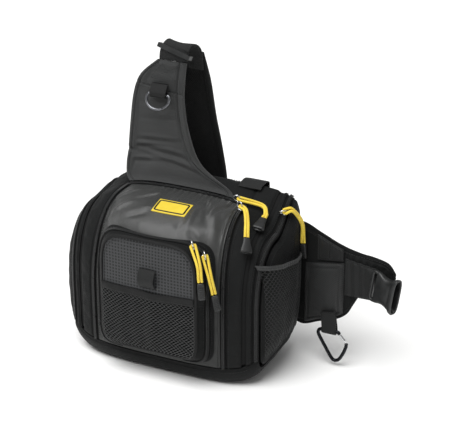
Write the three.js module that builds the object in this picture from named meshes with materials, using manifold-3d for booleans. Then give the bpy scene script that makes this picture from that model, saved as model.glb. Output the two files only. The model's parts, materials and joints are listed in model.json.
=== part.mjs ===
// A sling bag that stands on its base: X to the right, the front faces -Y, Z up, millimetres.
// The origin is the middle of the resting face.
import * as THREE from 'three';
import { mergeVertices } from 'three/addons/utils/BufferGeometryUtils.js';
import Module from 'manifold-3d';

const wasm = await Module();
wasm.setup();

// Body
const BAG_WIDTH = 300;
const BAG_TOP = 217;
const RIDGE_TOP = 227;
const AXIS_HEIGHT = 98;
const FRONT_REACH = 76;
const BACK_REACH = 62;
const END_POWER = 3;
const BACK_POWER = 9;
const BASE_POWER = 8;
const CROWN_POWER = { middle: 3, edge: 2.3 };
const BASE_SAG = 0.8;
const RIGHT_END = 0.5;
const WALL = 2.4;
const BACK_PAD = 7;
const SEAM = 0.35;

// Seams of the body: half-widths across, and angles round the axis (0 back, 90 up, 180 front)
const PANEL_HALF = { foot: 86, head: 76 };
const ZIP_WIDTH = 7;
const FOLD_AT = 114.5;
const FOLD_HALF = 4;
const REAR_ZIP_AT = 127;
const ANGLE = { tray: 216.8, head: 80.8, zipBack: 77, ridge: 46, backFoot: -36.8 };

// Front pocket
const POCKET = {
  faceHalf: 63, baseHalf: 80, faceTall: 74.5, baseTall: 86, baseHead: 77, middle: 117.5, faceY: -92.5,
};
const POCKET_WALL = 1.8;
const MESH_TOP = 121;
const HEM_TALL = 6;

// Shoulder strap, belt wing and hardware
const STRAP_PAD = 12;
const WEBBING_WIDE = 38;
const WEBBING_NARROW = 25;
const WEBBING_THICK = 2;
const WING_PAD = 6;
const RING_WIRE = 1.75;
const HOOK_WIRE = 2.2;
const CORD = 3.2;
const CORD_BEND = 2.75;
const CORD_LEG = 1.85;
const CLEAR = 0.35;

const FINISH = {
  nylon: { color: 0x1b1b1d, roughness: 0.6, metalness: 0 },
  gloss_nylon: { color: 0x2a2a2c, roughness: 0.42, metalness: 0 },
  ripstop: { color: 0x2e2e30, roughness: 0.65, metalness: 0 },
  net: { color: 0x161617, roughness: 0.75, metalness: 0 },
  webbing: { color: 0x1d1d1e, roughness: 0.7, metalness: 0 },
  padding: { color: 0x232325, roughness: 0.7, metalness: 0 },
  coil: { color: 0x0f0f10, roughness: 0.5, metalness: 0 },
  moulded: { color: 0x151516, roughness: 0.4, metalness: 0 },
  cord: { color: 0xe3a91a, roughness: 0.7, metalness: 0 },
  patch: { color: 0xe6b022, roughness: 0.6, metalness: 0 },
  steel: { color: 0xb9bbbd, roughness: 0.25, metalness: 1 },
  black_metal: { color: 0x1a1a1b, roughness: 0.35, metalness: 0.9 },
};

const bag = new THREE.Group();
bag.name = 'shoulder_bag';

const V = (x, y, z) => new THREE.Vector3(x, y, z);
const mix = (a, b, t) => a + (b - a) * t;
const smooth = (a, b, x) => THREE.MathUtils.smoothstep(x, a, b);
const rad = THREE.MathUtils.degToRad;

// Adds a closed mesh, turned so that its faces point out.
function add(name, finish, points, triangles) {
  let volume = 0;
  for (const [a, b, c] of triangles) {
    volume += points[a].dot(V(0, 0, 0).crossVectors(points[b], points[c]));
  }
  const index = triangles.flatMap(([a, b, c]) => (volume > 0 ? [a, b, c] : [a, c, b]));
  const geometry = new THREE.BufferGeometry().setFromPoints(points);
  geometry.setIndex(index);
  geometry.computeVertexNormals();
  const mesh = new THREE.Mesh(geometry, new THREE.MeshStandardMaterial(FINISH[finish]));
  mesh.name = name;
  bag.add(mesh);
}

// A wall whose outer face is point(u, v) raised by lift along the normal, and whose inner face lies wall
// below. ring closes it in u, and pole draws the row v = 1 to one point.
function wallMesh(name, finish, point, nu, nv, wall, options = {}) {
  const { lift = 0, ring = false, pole = false, core = null } = options;
  const value = (f, u, v) => (typeof f === 'function' ? f(u, v) : f);
  const step = 1e-4;
  const outer = [];
  const inner = [];
  const columns = ring ? nu : nu + 1;
  const rows = pole ? nv : nv + 1;
  const place = (u, v) => {
    const p = point(u, v);
    const vv = pole ? Math.min(v, 1 - 2 * step) : v;
    const du = point(u + step, vv).sub(point(u - step, vv));
    const dv = point(u, vv + step).sub(point(u, vv - step));
    const n = du.cross(dv).normalize();
    const inside = core ? core(p) : V(0.4 * p.x, 0, AXIS_HEIGHT);
    if (n.dot(p.clone().sub(inside)) < 0) n.negate();
    const high = value(lift, u, v);
    outer.push(p.clone().addScaledVector(n, high));
    inner.push(p.clone().addScaledVector(n, high - value(wall, u, v)));
  };
  for (let j = 0; j < rows; j++) {
    for (let i = 0; i < columns; i++) place(i / nu, j / nv);
  }
  if (pole) place(0, 1);
  const count = outer.length;
  const at = (i, j) => (pole && j === nv ? count - 1 : j * columns + (ring ? i % nu : i));
  const triangles = [];
  const quad = (a, b, c, d) => {
    if (a !== b) triangles.push([a, b, c]);
    if (c !== d) triangles.push([a, c, d]);
  };
  for (let j = 0; j < nv; j++) {
    for (let i = 0; i < nu; i++) {
      const [a, b, c, d] = [at(i, j), at(i + 1, j), at(i + 1, j + 1), at(i, j + 1)];
      quad(a, b, c, d);
      quad(d + count, c + count, b + count, a + count);
    }
  }
  for (let i = 0; i < nu; i++) {
    quad(at(i, 0), at(i, 0) + count, at(i + 1, 0) + count, at(i + 1, 0));
    if (!pole) quad(at(i + 1, nv), at(i + 1, nv) + count, at(i, nv) + count, at(i, nv));
  }
  for (let j = 0; !ring && j < nv; j++) {
    quad(at(0, j + 1), at(0, j + 1) + count, at(0, j) + count, at(0, j));
    quad(at(nu, j), at(nu, j) + count, at(nu, j + 1) + count, at(nu, j + 1));
  }
  add(name, finish, [...outer, ...inner], triangles);
}

// A section of (a, b) points carried along frames, each at + a * side + b * up.
function sweepMesh(name, finish, frames, section, closed = false) {
  const m = section.length;
  const points = frames.flatMap(({ at, side, up }) =>
    section.map(([a, b]) => at.clone().addScaledVector(side, a).addScaledVector(up, b)));
  const triangles = [];
  const spans = closed ? frames.length : frames.length - 1;
  for (let k = 0; k < spans; k++) {
    const near = k * m;
    const far = ((k + 1) % frames.length) * m;
    for (let i = 0; i < m; i++) {
      const next = (i + 1) % m;
      triangles.push([near + i, near + next, far + next], [near + i, far + next, far + i]);
    }
  }
  const last = (frames.length - 1) * m;
  for (let i = 1; !closed && i < m - 1; i++) {
    triangles.push([0, i + 1, i], [last, last + i, last + i + 1]);
  }
  add(name, finish, points, triangles);
}

const circle = (radius, sides) => Array.from({ length: sides }, (_, i) => {
  const t = (2 * Math.PI * i) / sides;
  return [radius * Math.cos(t), radius * Math.sin(t)];
});
const strip = (width, thick) => [
  [-width / 2, -thick / 2], [width / 2, -thick / 2], [width / 2, thick / 2], [-width / 2, thick / 2],
];

// Frames along a curve through the points, equal steps between each two, kept from twisting.
function wireFrames(points, steps, closed = false) {
  const curve = new THREE.CatmullRomCurve3(points, closed, 'centripetal');
  const count = closed ? steps : steps + 1;
  const first = curve.getTangent(0);
  let side = V(0.3, 0.9, 0.2).projectOnPlane(first).normalize();
  return Array.from({ length: count }, (_, i) => {
    const along = curve.getTangent(i / steps);
    side = side.clone().projectOnPlane(along).normalize();
    return { at: curve.getPoint(i / steps), side, up: along.clone().cross(side) };
  });
}

// Frames of a flat band along the points, whose width keeps to one direction.
function bandFrames(points, across) {
  return points.map((at, i) => {
    const before = points[Math.max(i - 1, 0)];
    const after = points[Math.min(i + 1, points.length - 1)];
    const along = after.clone().sub(before).normalize();
    const side = across.clone().addScaledVector(along, -across.dot(along)).normalize();
    return { at, side, up: along.cross(side) };
  });
}

// A smooth value between the rows of a table, by column name.
function between(rows, t) {
  const place = Math.min(Math.max(t, 0), 1) * (rows.length - 1);
  const i = Math.min(Math.floor(place), rows.length - 2);
  const f = place - i;
  const row = (k) => rows[Math.min(Math.max(k, 0), rows.length - 1)];
  const out = {};
  for (const key of Object.keys(rows[0])) {
    const [p, a, b, q] = [row(i - 1)[key], row(i)[key], row(i + 1)[key], row(i + 2)[key]];
    const slopeA = (b - p) / 2;
    const slopeB = (q - a) / 2;
    const cubic = (2 * a - 2 * b + slopeA + slopeB) * f + (3 * b - 3 * a - 2 * slopeA - slopeB);
    out[key] = a + f * (slopeA + f * cubic);
  }
  return out;
}

// A three.js geometry as a solid that can be cut and joined.
function solidOf(geometry) {
  geometry.deleteAttribute('normal');
  geometry.deleteAttribute('uv');
  const merged = mergeVertices(geometry);
  return new wasm.Manifold(new wasm.Mesh({
    numProp: 3,
    vertProperties: new Float32Array(merged.attributes.position.array),
    triVerts: new Uint32Array(merged.index.array),
  }));
}
const block = (size, at = [0, 0, 0]) => solidOf(new THREE.BoxGeometry(...size).translate(...at));

// A cut or joined solid, placed by a matrix.
function addSolid(name, finish, solid, matrix) {
  const { vertProperties, triVerts, numProp } = solid.getMesh();
  const points = [];
  for (let i = 0; i < vertProperties.length; i += numProp) {
    points.push(V(vertProperties[i], vertProperties[i + 1], vertProperties[i + 2]).applyMatrix4(matrix));
  }
  const triangles = [];
  for (let i = 0; i < triVerts.length; i += 3) triangles.push([triVerts[i], triVerts[i + 1], triVerts[i + 2]]);
  add(name, finish, points, triangles);
}

// The body: each section across the width is one outline of four superellipse quarters, drawn in to the axis
// by its own end taper at the front, back, top and base.
const HALF = BAG_WIDTH / 2;
const taper = (x, into, out) => Math.max(1 - Math.abs(x / HALF) ** into, 0) ** (1 / out);
const frontTaper = (x) => taper(x, END_POWER, END_POWER);
const backTaper = (x) => taper(x, 7, 7);
const baseTaper = (x) => taper(x, 8, 1.6);
const ridgeTaper = (x) => (x > 0 ? taper(x, 9, 9) : taper(x, 2.9, 2.9));
const crownPower = (x) => mix(CROWN_POWER.middle, CROWN_POWER.edge, smooth(40, 92, Math.abs(x)));
const quarterPower = (x, back, up) => (up ? (back ? BACK_POWER : crownPower(x)) : BASE_POWER);

// Height over the axis: the crown rises to the ridge at the back, and the base is pressed flat.
function overAxis(x, back, up) {
  if (!up) return (AXIS_HEIGHT + BASE_SAG) * baseTaper(x);
  const t = smooth(0, 1, back);
  return (mix(BAG_TOP, RIDGE_TOP, t) - AXIS_HEIGHT) * mix(frontTaper(x), ridgeTaper(x), t);
}

// The right end, flattened by the wing behind it, stands out less than the left.
const EDGE = REAR_ZIP_AT + ZIP_WIDTH / 2 + SEAM;
const endAt = (x) => (x > EDGE ? EDGE + (x - EDGE) * RIGHT_END : x);

function bodyPoint(x, degrees) {
  const c = Math.cos(rad(degrees));
  const s = Math.sin(rad(degrees));
  const power = quarterPower(x, c > 0, s > 0);
  const r = (Math.abs(c) ** power + Math.abs(s) ** power) ** (-1 / power);
  const reach = c > 0 ? BACK_REACH * backTaper(x) : FRONT_REACH * frontTaper(x);
  const rise = Math.max(-AXIS_HEIGHT, overAxis(x, r * c, s > 0) * r * s);
  return V(endAt(x), reach * r * c, AXIS_HEIGHT + rise);
}

// Depth of the front at (x, z), and reach of the end at (y, z).
function frontDepth(x, z) {
  const up = z > AXIS_HEIGHT;
  const power = quarterPower(x, false, up);
  const share = Math.min(Math.abs(z - AXIS_HEIGHT) / overAxis(x, 0, up), 1);
  return -FRONT_REACH * frontTaper(x) * (1 - share ** power) ** (1 / power);
}
function endReach(y, z) {
  let low = 0;
  let high = HALF;
  for (let k = 0; k < 40; k++) {
    const x = (low + high) / 2;
    const up = z > AXIS_HEIGHT;
    const deep = y > 0 ? BACK_REACH * backTaper(x) : FRONT_REACH * frontTaper(x);
    const tall = overAxis(x, y / deep, up);
    const power = quarterPower(x, y > 0, up);
    const inside = Math.abs(y / deep) ** power + Math.abs((z - AXIS_HEIGHT) / tall) ** power < 1;
    if (inside) low = x;
    else high = x;
  }
  return endAt(low);
}
const panelHalf = (degrees) => {
  const lean = Math.min(Math.max((180 - degrees) / (180 - ANGLE.head), 0), 1);
  return mix(PANEL_HALF.foot, PANEL_HALF.head, lean ** 1.5);
};
function outward(x, degrees) {
  const across = bodyPoint(x + 0.05, degrees).sub(bodyPoint(x - 0.05, degrees));
  const round = bodyPoint(x, degrees + 0.05).sub(bodyPoint(x, degrees - 0.05));
  const n = across.cross(round).normalize();
  return n.dot(bodyPoint(x, degrees).sub(V(0.4 * x, 0, AXIS_HEIGHT))) < 0 ? n.negate() : n;
}
const onBody = (x, degrees, lift) => bodyPoint(x, degrees).addScaledVector(outward(x, degrees), lift);

// A panel between two seam curves across and two angles, with its stations closer towards the seams.
function bodyPanel(name, finish, [xa, xb], [da, db], nu, nv, wall, lift = 0, point = bodyPoint) {
  const across = (x, d) => (typeof x === 'function' ? x(d) : x);
  wallMesh(name, finish, (u, v) => {
    const d = mix(da, db, u);
    return point(mix(across(xa, d), across(xb, d), v * v * (3 - 2 * v)), d);
  }, nu, nv, wall, { lift });
}

// The crown of the front panel swells forward between its seams, most of all just over the pocket.
const SWELL = { most: 20, half: 76, foot: 140, full: 190, fade: 202, head: 219 };
const crownSwell = (x, z) => SWELL.most * Math.max(1 - (x / SWELL.half) ** 2, 0) ** 1.3
  * smooth(SWELL.foot, SWELL.full, z) * (1 - smooth(SWELL.fade, SWELL.head, z));
const crownPoint = (x, d) => {
  const p = bodyPoint(x, d);
  return p.setY(p.y - (d > 90 ? crownSwell(x, p.z) : 0));
};

bodyPanel('base_panel', 'nylon', [-EDGE + SEAM, EDGE - SEAM],
  [ANGLE.tray + 0.8, 360 + ANGLE.backFoot - 0.8], 10, 16, WALL);
bodyPanel('back_panel', 'padding', [-EDGE + SEAM, EDGE - SEAM],
  [ANGLE.backFoot, ANGLE.ridge - 0.4], 7, 10, BACK_PAD);
bodyPanel('front_panel', 'gloss_nylon', [(d) => -panelHalf(d) + SEAM, (d) => panelHalf(d) - SEAM],
  [ANGLE.tray, ANGLE.head + 0.2], 18, 8, WALL, 0, crownPoint);
const headHalf = PANEL_HALF.head + ZIP_WIDTH;
bodyPanel('main_zip_top', 'coil', [-headHalf, headHalf], [ANGLE.head - 0.2, ANGLE.zipBack + 0.2], 1, 10, WALL);
bodyPanel('top_panel', 'nylon', [-headHalf, headHalf], [ANGLE.zipBack - 0.2, ANGLE.ridge + 0.4], 5, 10, WALL);
for (const [side, label] of [[-1, 'left'], [1, 'right']]) {
  const run = [ANGLE.tray, ANGLE.ridge + 0.4];
  bodyPanel(`main_zip_${label}`, 'coil', [(d) => side * panelHalf(d), (d) => side * (panelHalf(d) + ZIP_WIDTH)],
    [ANGLE.tray, ANGLE.head + 0.2], 18, 1, WALL);
  bodyPanel(`front_gusset_${label}`, 'nylon',
    [(d) => side * (panelHalf(d) + ZIP_WIDTH + SEAM), side * (FOLD_AT - FOLD_HALF)], run, 18, 2, WALL);
  bodyPanel(`fold_${label}`, 'coil', [side * (FOLD_AT - FOLD_HALF - 3), side * (FOLD_AT + FOLD_HALF + 3)],
    run, 18, 1, 1.5, -WALL - 2 * SEAM);
  bodyPanel(`rear_gusset_${label}`, 'nylon',
    [side * (FOLD_AT + FOLD_HALF), side * (REAR_ZIP_AT - ZIP_WIDTH / 2 - SEAM)], run, 18, 1, WALL);
  bodyPanel(`rear_zip_${label}`, 'coil',
    [side * (REAR_ZIP_AT - ZIP_WIDTH / 2), side * (REAR_ZIP_AT + ZIP_WIDTH / 2)], run, 18, 1, WALL);
  wallMesh(`end_panel_${label}`, 'nylon', (u, v) => {
    const shrink = frontTaper(EDGE + 2 * SEAM / (side > 0 ? RIGHT_END / 2 : 1)) * (1 - v);
    return bodyPoint(side * HALF * (1 - shrink ** END_POWER) ** (1 / END_POWER), 360 * u);
  }, 26, 5, WALL, { ring: true, pole: true });
}

// The front pocket: a raised face and a sloping gusset down to the front panel. turn goes round it from the
// right over the top, and slope runs from the face's edge, 0, to the panel, 1.
const pocketFace = (x, z) => {
  const side = x / POCKET.faceHalf;
  const tall = (z - POCKET.middle) / POCKET.faceTall;
  return POCKET.faceY - 2.5 * (1 - Math.min(side * side, 1)) * (1 - Math.min(tall * tall, 1));
};
function pocketPoint(turn, slope) {
  const c = Math.cos(rad(turn));
  const s = Math.sin(rad(turn));
  const power = s > 0 ? 5 : 10;
  const r = (Math.abs(c) ** power + Math.abs(s) ** power) ** (-1 / power);
  const out = Math.max(slope, 0);
  const x = mix(POCKET.faceHalf, POCKET.baseHalf, out) * r * c * (1 + Math.min(slope, 0));
  const tall = mix(POCKET.faceTall, s > 0 ? POCKET.baseHead : POCKET.baseTall, out);
  const z = POCKET.middle + tall * r * s * (1 + Math.min(slope, 0));
  return V(x, mix(pocketFace(x, z), frontDepth(x, z) - crownSwell(x, z) - 1.7, out), z);
}
const gussetHead = (turn) => mix(0.06, 0.18, Math.max(Math.sin(rad(turn)), 0) ** 2);
const pocketCore = () => V(0, -40, POCKET.middle);
wallMesh('pocket_face', 'ripstop', (u, v) => pocketPoint(360 * u, mix(0.02, -1, v)), 30, 3, POCKET_WALL,
  { ring: true, pole: true, core: (p) => p.clone().add(V(0, 50, 0)) });
wallMesh('pocket_gusset', 'nylon', (u, v) => pocketPoint(360 * u, mix(gussetHead(360 * u), 0.97, v)), 30, 3,
  1.5, { ring: true, core: pocketCore });
wallMesh('pocket_zip', 'coil', (u, v) => pocketPoint(mix(-60, 240, u), mix(0.5, 0.76, v)), 25, 1, 1.2,
  { lift: 2, core: pocketCore });
const onFace = (xa, xb, za, zb) => (u, v) => {
  const x = mix(xa, xb, u);
  const z = mix(za, zb, v);
  return V(x, pocketFace(x, z), z);
};
const faceCore = { core: (p) => p.clone().add(V(0, 50, 0)) };
const faceFoot = POCKET.middle - POCKET.faceTall + 2;
const faceSide = POCKET.faceHalf - 2.5;
wallMesh('pocket_mesh', 'net', onFace(-faceSide, faceSide, faceFoot, MESH_TOP), 8, 6, 1,
  { lift: 1.4, ...faceCore });
wallMesh('pocket_hem', 'webbing', onFace(-faceSide, faceSide, MESH_TOP + SEAM, MESH_TOP + HEM_TALL), 8, 1,
  1.4, { lift: 1.8, ...faceCore });
const TAB = { x: 1.5, z: 143.5, width: 22, half: 11.5, stand: 6.5 };
const tabPath = Array.from({ length: 9 }, (_, i) => {
  const t = -1 + i / 4;
  const z = TAB.z + TAB.half * t;
  return V(TAB.x, pocketFace(TAB.x, z) - 0.75 - TAB.stand * Math.cos((Math.PI / 2) * t) ** 0.7, z);
});
sweepMesh('pocket_tab', 'webbing', bandFrames(tabPath, V(1, 0, 0)), strip(TAB.width, 1.4));

// The patch on the crown of the front panel, between two angles.
const PATCH = { left: -15.7, right: 29, low: 119.6, high: 107.2 };
bodyPanel('label_patch', 'patch', [PATCH.left, PATCH.right], [PATCH.low, PATCH.high], 3, 4, 1.2, 1.5,
  crownPoint);

// The net pocket on the right end, open along its hem.
const NET = { front: -47, back: 45, foot: 42, belly: 9 };
const netHead = (y) => 149 - 0.2 * y;
const netPoint = (za, zb) => (u, v) => {
  const y = mix(NET.front, NET.back, u);
  const z = mix(za, zb, v) + (netHead(y) - netHead(0)) * smooth(NET.foot, netHead(0), mix(za, zb, v));
  const bow = Math.sin(Math.PI * Math.min(Math.max(u, 0), 1)) ** 0.7;
  const belly = NET.belly * bow * smooth(NET.foot - 8, 120, z);
  return V(endReach(y, z) + belly, y, z);
};
wallMesh('side_net', 'net', netPoint(NET.foot, netHead(0)), 12, 6, 1, { lift: 2.4 });
wallMesh('side_net_hem', 'webbing', netPoint(netHead(0) + SEAM, netHead(0) + 6), 12, 1, 1.6, { lift: 2.7 });

// The front half of the shoulder strap rises from the main zip's head and narrows to the webbing.
const FRONT_ROWS = [
  { left: -80, right: 66, y: 14, z: 220, sink: 1, thick: 3 },
  { left: -87, right: 57, y: 20, z: 225, sink: 0.7, thick: 7 },
  { left: -89, right: 30, y: 25, z: 236, sink: 0.2, thick: STRAP_PAD },
  { left: -88, right: 9, y: 29, z: 252, sink: 0, thick: STRAP_PAD },
  { left: -87, right: -6, y: 34, z: 285, sink: 0, thick: STRAP_PAD },
  { left: -85, right: -15, y: 41, z: 322, sink: 0, thick: STRAP_PAD },
  { left: -77, right: -16, y: 46, z: 347, sink: 0, thick: STRAP_PAD },
  { left: -55, right: -15, y: 50, z: 368, sink: 0, thick: 6 },
];
const strapFront = (u, v) => {
  const row = between(FRONT_ROWS, u);
  const x = mix(row.left, row.right, v);
  return V(x, row.y, row.z - row.sink * (BAG_TOP - AXIS_HEIGHT) * (1 - frontTaper(x)));
};
const padded = (rows) => (u, v) => between(rows, u).thick * (1 - 0.55 * Math.abs(2 * v - 1) ** 5);
const half = (f) => (u, v) => f(u, v) / 2;
const behind = (p) => p.clone().add(V(0, 100, 20));
wallMesh('strap_front', 'padding', strapFront, 16, 6, padded(FRONT_ROWS),
  { lift: half(padded(FRONT_ROWS)), core: behind });

// The webbing carries on from the front pad's end, goes over the top and is sewn to the back pad.
const overTop = [
  [-34, 50.4, 368.6], [-34, 51.2, 374.5], [-32.6, 52.2, 380], [-31, 55.5, 385.5], [-28.6, 60.5, 388],
  [-26, 66, 386], [-24.5, 71.5, 379], [-24.5, 75, 367], [-24.5, 76, 352],
].map(([x, y, z]) => V(x, y, z));
sweepMesh('strap_webbing', 'webbing', bandFrames(overTop, V(1, 0, 0)), strip(WEBBING_WIDE, WEBBING_THICK));

// The back half comes down behind the bag and is sewn to the foot of the back panel.
const BACK_ROWS = [
  { middle: -25, half: 19, y: 79, z: 374, thick: 6 },
  { middle: -24, half: 24, y: 85, z: 335, thick: STRAP_PAD },
  { middle: -21, half: 26, y: 89, z: 290, thick: STRAP_PAD },
  { middle: -14, half: 27, y: 91, z: 245, thick: STRAP_PAD },
  { middle: -7, half: 27, y: 90, z: 200, thick: STRAP_PAD },
  { middle: -3, half: 24, y: 87, z: 150, thick: STRAP_PAD },
  { middle: 0, half: 20, y: 79, z: 95, thick: 6 },
  { middle: 0, half: 19, y: 64, z: 48, thick: 3 },
];
const strapBack = (u, v) => {
  const row = between(BACK_ROWS, u);
  return V(row.middle + row.half * (2 * v - 1), row.y, row.z);
};
wallMesh('strap_back', 'padding', strapBack, 12, 4, padded(BACK_ROWS),
  { lift: half(padded(BACK_ROWS)), core: (p) => p.clone().add(V(0, -100, 0)) });

// Moves the axes of a solid to a place: its X along side, its Y along up, its Z along out.
const framed = (at, side, up) => {
  const x = side.clone().normalize();
  const y = up.clone().addScaledVector(x, -up.dot(x)).normalize();
  return new THREE.Matrix4().makeBasis(x, y, x.clone().cross(y)).setPosition(at);
};

// The moulded slide that the webbing passes through above the front pad.
const slideAlong = V(3, 4.3, 11);
const slide = block([47, 6, 10.4]).subtract(block([41, 20, WEBBING_THICK + 4.6]));
addSolid('strap_lock', 'moulded', slide, framed(V(-32.6, 52.5, 380), V(1, -0.1, -0.24), slideAlong));

// The ring on the strap: a straight bar held by a folded tab, and a bow below it.
const RING = { x: -45, z: 329, half: 15.5, tall: 18 };
const padFace = (z) => {
  const steps = Array.from({ length: 201 }, (_, i) => between(FRONT_ROWS, i / 200));
  const row = steps.find((r) => r.z >= z);
  return row.y - row.thick / 2 - 0.4;
};
const ringBarY = padFace(RING.z - 12) - 3.2;
const ringDown = V(0, -0.42, -1).normalize();
const ringPoints = [
  [-0.88, 0], [-0.68, 0], [0.68, 0], [0.88, 0], [1, 0.2], [0.9, 0.62], [0.5, 0.93], [0, 1.02],
  [-0.5, 0.93], [-0.9, 0.62], [-1, 0.2],
].map(([a, b]) => V(RING.x + a * RING.half, ringBarY, RING.z).addScaledVector(ringDown, b * RING.tall));
sweepMesh('d_ring', 'steel', wireFrames(ringPoints, 2 * ringPoints.length, true), circle(RING_WIRE, 7), true);
const tabBend = RING_WIRE + CLEAR + WEBBING_THICK / 2;
const tabBack = padFace(RING.z + 10) - 0.9;
const ringTab = [V(RING.x, tabBack, RING.z + 13), V(RING.x, ringBarY + tabBend, RING.z + 2)];
for (let i = 0; i <= 6; i++) {
  const t = (Math.PI * i) / 6;
  ringTab.push(V(RING.x, ringBarY + tabBend * Math.cos(t), RING.z - tabBend * Math.sin(t)));
}
ringTab.push(V(RING.x, ringBarY - tabBend + 0.8, RING.z + 4), V(RING.x, tabBack - 2.5, RING.z + 13));
sweepMesh('d_ring_tab', 'webbing', bandFrames(ringTab, V(1, 0, 0)), strip(22, WEBBING_THICK));

// The loop of webbing over the ridge.
const LOOP = { x: 76, width: 30, front: 36, head: 227 };
const ridge = onBody(LOOP.x, ANGLE.ridge, 0);
const loopFoot = bodyPoint(LOOP.x - LOOP.width / 2, 60).z + 1.6;
const topLoop = [
  [LOOP.front, loopFoot], [LOOP.front + 4, LOOP.head - 1.5], [LOOP.front + 10, LOOP.head],
  [ridge.y - 2, LOOP.head], [ridge.y + 5, LOOP.head - 2.5],
  [BACK_REACH + 2, ridge.z + 2], [BACK_REACH + 2, ridge.z - 18],
].map(([y, z]) => V(LOOP.x, y, z));
sweepMesh('top_loop', 'webbing', bandFrames(topLoop, V(1, 0, 0)), strip(LOOP.width, WEBBING_THICK));

// The padded wing of the belt, sewn behind the back panel and reaching out to the right.
const WING_ROWS = [
  { x: 112, y: 66.2, low: 46, high: 172 },
  { x: 138, y: 62, low: 36, high: 180 },
  { x: 165, y: 56, low: 48, high: 173 },
  { x: 188, y: 51.4, low: 58, high: 166 },
  { x: 204, y: 49.2, low: 70, high: 162 },
  { x: 214, y: 48.1, low: 88, high: 160.4 },
  { x: 224, y: 47.2, low: 104, high: 159 },
  { x: 240, y: 46, low: 112, high: 158 },
  { x: 258, y: 44.5, low: 120, high: 154 },
  { x: 268, y: 43, low: 130, high: 143 },
];
const wingAt = (x) => {
  const last = WING_ROWS.length - 1;
  const i = Math.max(0, Math.min(last - 1, WING_ROWS.findIndex((row) => row.x > x) - 1));
  const f = (x - WING_ROWS[i].x) / (WING_ROWS[i + 1].x - WING_ROWS[i].x);
  return between(WING_ROWS, (i + f) / last);
};
const wing = (u, v) => {
  const row = between(WING_ROWS, u);
  return V(row.x, row.y, mix(row.low, row.high, v));
};
const wingPad = (u, v) => WING_PAD * (1 - 0.5 * Math.abs(2 * v - 1) ** 5) * mix(1, 0.6, smooth(0.85, 1, u));
const wingCore = { core: (p) => p.clone().add(V(0, 100, 0)) };
wallMesh('wing', 'padding', wing, 16, 5, wingPad, { lift: half(wingPad), ...wingCore });

// A flat or bulging piece on the wing's face, stand proud of it.
function onWing(name, finish, [xa, xb], [za, zb], nu, nv, wall, stand, belly = 0) {
  const edge = (z, x) => (typeof z === 'function' ? z(x) : z);
  wallMesh(name, finish, (u, v) => {
    const x = mix(xa, xb, u);
    const row = wingAt(x);
    const swell = belly * (Math.sin(Math.PI * u) * Math.sin(Math.PI * v)) ** 0.5 || 0;
    return V(x, row.y - WING_PAD / 2 - stand - swell, mix(edge(za, x), edge(zb, x), v));
  }, nu, nv, wall, wingCore);
}
onWing('wing_pouch', 'ripstop', [144, 200], [(x) => wingAt(x).low + 5, (x) => mix(128, 142, (x - 144) / 56)],
  8, 7, 1.5, 1.9, 8);
onWing('wing_patch', 'webbing', [162, 199], [(x) => mix(136, 144.5, (x - 162) / 37), (x) => wingAt(x).high - 3],
  4, 1, 2, 2.6);
onWing('belt_webbing', 'webbing', [202, 235.2], [(x) => 99 + 0.06 * (x - 202), (x) => 149 - 0.1 * (x - 202)],
  4, 2, WEBBING_THICK + 0.6, 3.1);

// The socket half of the side-release buckle, its mouth to the right.
const BUCKLE = { long: 41, thick: 15 };
const mirrored = (side) => [...side, ...side.map(([x, y]) => [x, -y]).reverse()];
const bothHalves = (side) => new THREE.Shape(mirrored(side).map(([x, y]) => new THREE.Vector2(x, y)));
const bucklePlan = bothHalves([[0, -21], [9, -21], [23, -17.5], [BUCKLE.long, -23.5]]);
const buckleSide = bothHalves([[0, -4.5], [9, -4.5], [24, -6.5], [BUCKLE.long, -BUCKLE.thick / 2]]);
const slab = (shape, depth) => new THREE.ExtrudeGeometry(shape, { depth, bevelEnabled: false })
  .translate(0, 0, -depth / 2);
const buckleBody = solidOf(slab(bucklePlan, BUCKLE.thick))
  .intersect(solidOf(slab(buckleSide, 60).rotateX(Math.PI / 2)));
const socket = block([24, 37, 10], [BUCKLE.long - 7, 0, 0]);
const sideWindow = block([10, 60, 7], [BUCKLE.long - 13, 0, 0]);
const barSlot = block([4, 35, 30], [6, 0, 0]);
const buckle = buckleBody.subtract(socket).subtract(sideWindow).subtract(barSlot);
const buckleAt = V(239.4, wingAt(238).y - WING_PAD / 2 - 6.5, 126.8);
addSolid('buckle', 'moulded', buckle, framed(buckleAt, V(1, -0.42, -0.1), V(0.26, 0, 1)));

// The hanging loop on the pouch and the hook in it.
const HOOK_BAR = { x: 186, y: 37.8, z: 48.5 };
const hookBend = HOOK_WIRE + CLEAR + WEBBING_THICK / 2;
const hookLoop = [V(HOOK_BAR.x - 3, 41, 73), V(HOOK_BAR.x, HOOK_BAR.y + hookBend - 0.6, HOOK_BAR.z + 5)];
for (let i = 0; i <= 8; i++) {
  const t = (Math.PI * i) / 8;
  hookLoop.push(V(HOOK_BAR.x, HOOK_BAR.y + hookBend * Math.cos(t), HOOK_BAR.z - hookBend * Math.sin(t)));
}
hookLoop.push(V(HOOK_BAR.x, HOOK_BAR.y - hookBend + 0.6, HOOK_BAR.z + 5), V(HOOK_BAR.x - 3, 38.5, 73));
sweepMesh('carabiner_loop', 'webbing', bandFrames(hookLoop, V(1, 0, 0)),
  strip(WEBBING_NARROW - 6, WEBBING_THICK));
const onHook = ([x, z]) => V(HOOK_BAR.x + x, HOOK_BAR.y, HOOK_BAR.z + z);
const hookPath = [
  [13.6, -2.6], [10.8, 0], [0, 0], [-10.5, 0], [-14.6, -3.4], [-13.4, -10], [-4, -26], [3.5, -38], [8, -41],
  [13.5, -38.5], [19, -29], [22.6, -19], [23.2, -14],
].map(onHook);
sweepMesh('carabiner', 'black_metal', wireFrames(hookPath, 24), circle(HOOK_WIRE, 8));
const GATE = { foot: [22.9, -12.9], nose: [14.1, -3.05], wire: 1.87, footWire: 0.84 };
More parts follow.
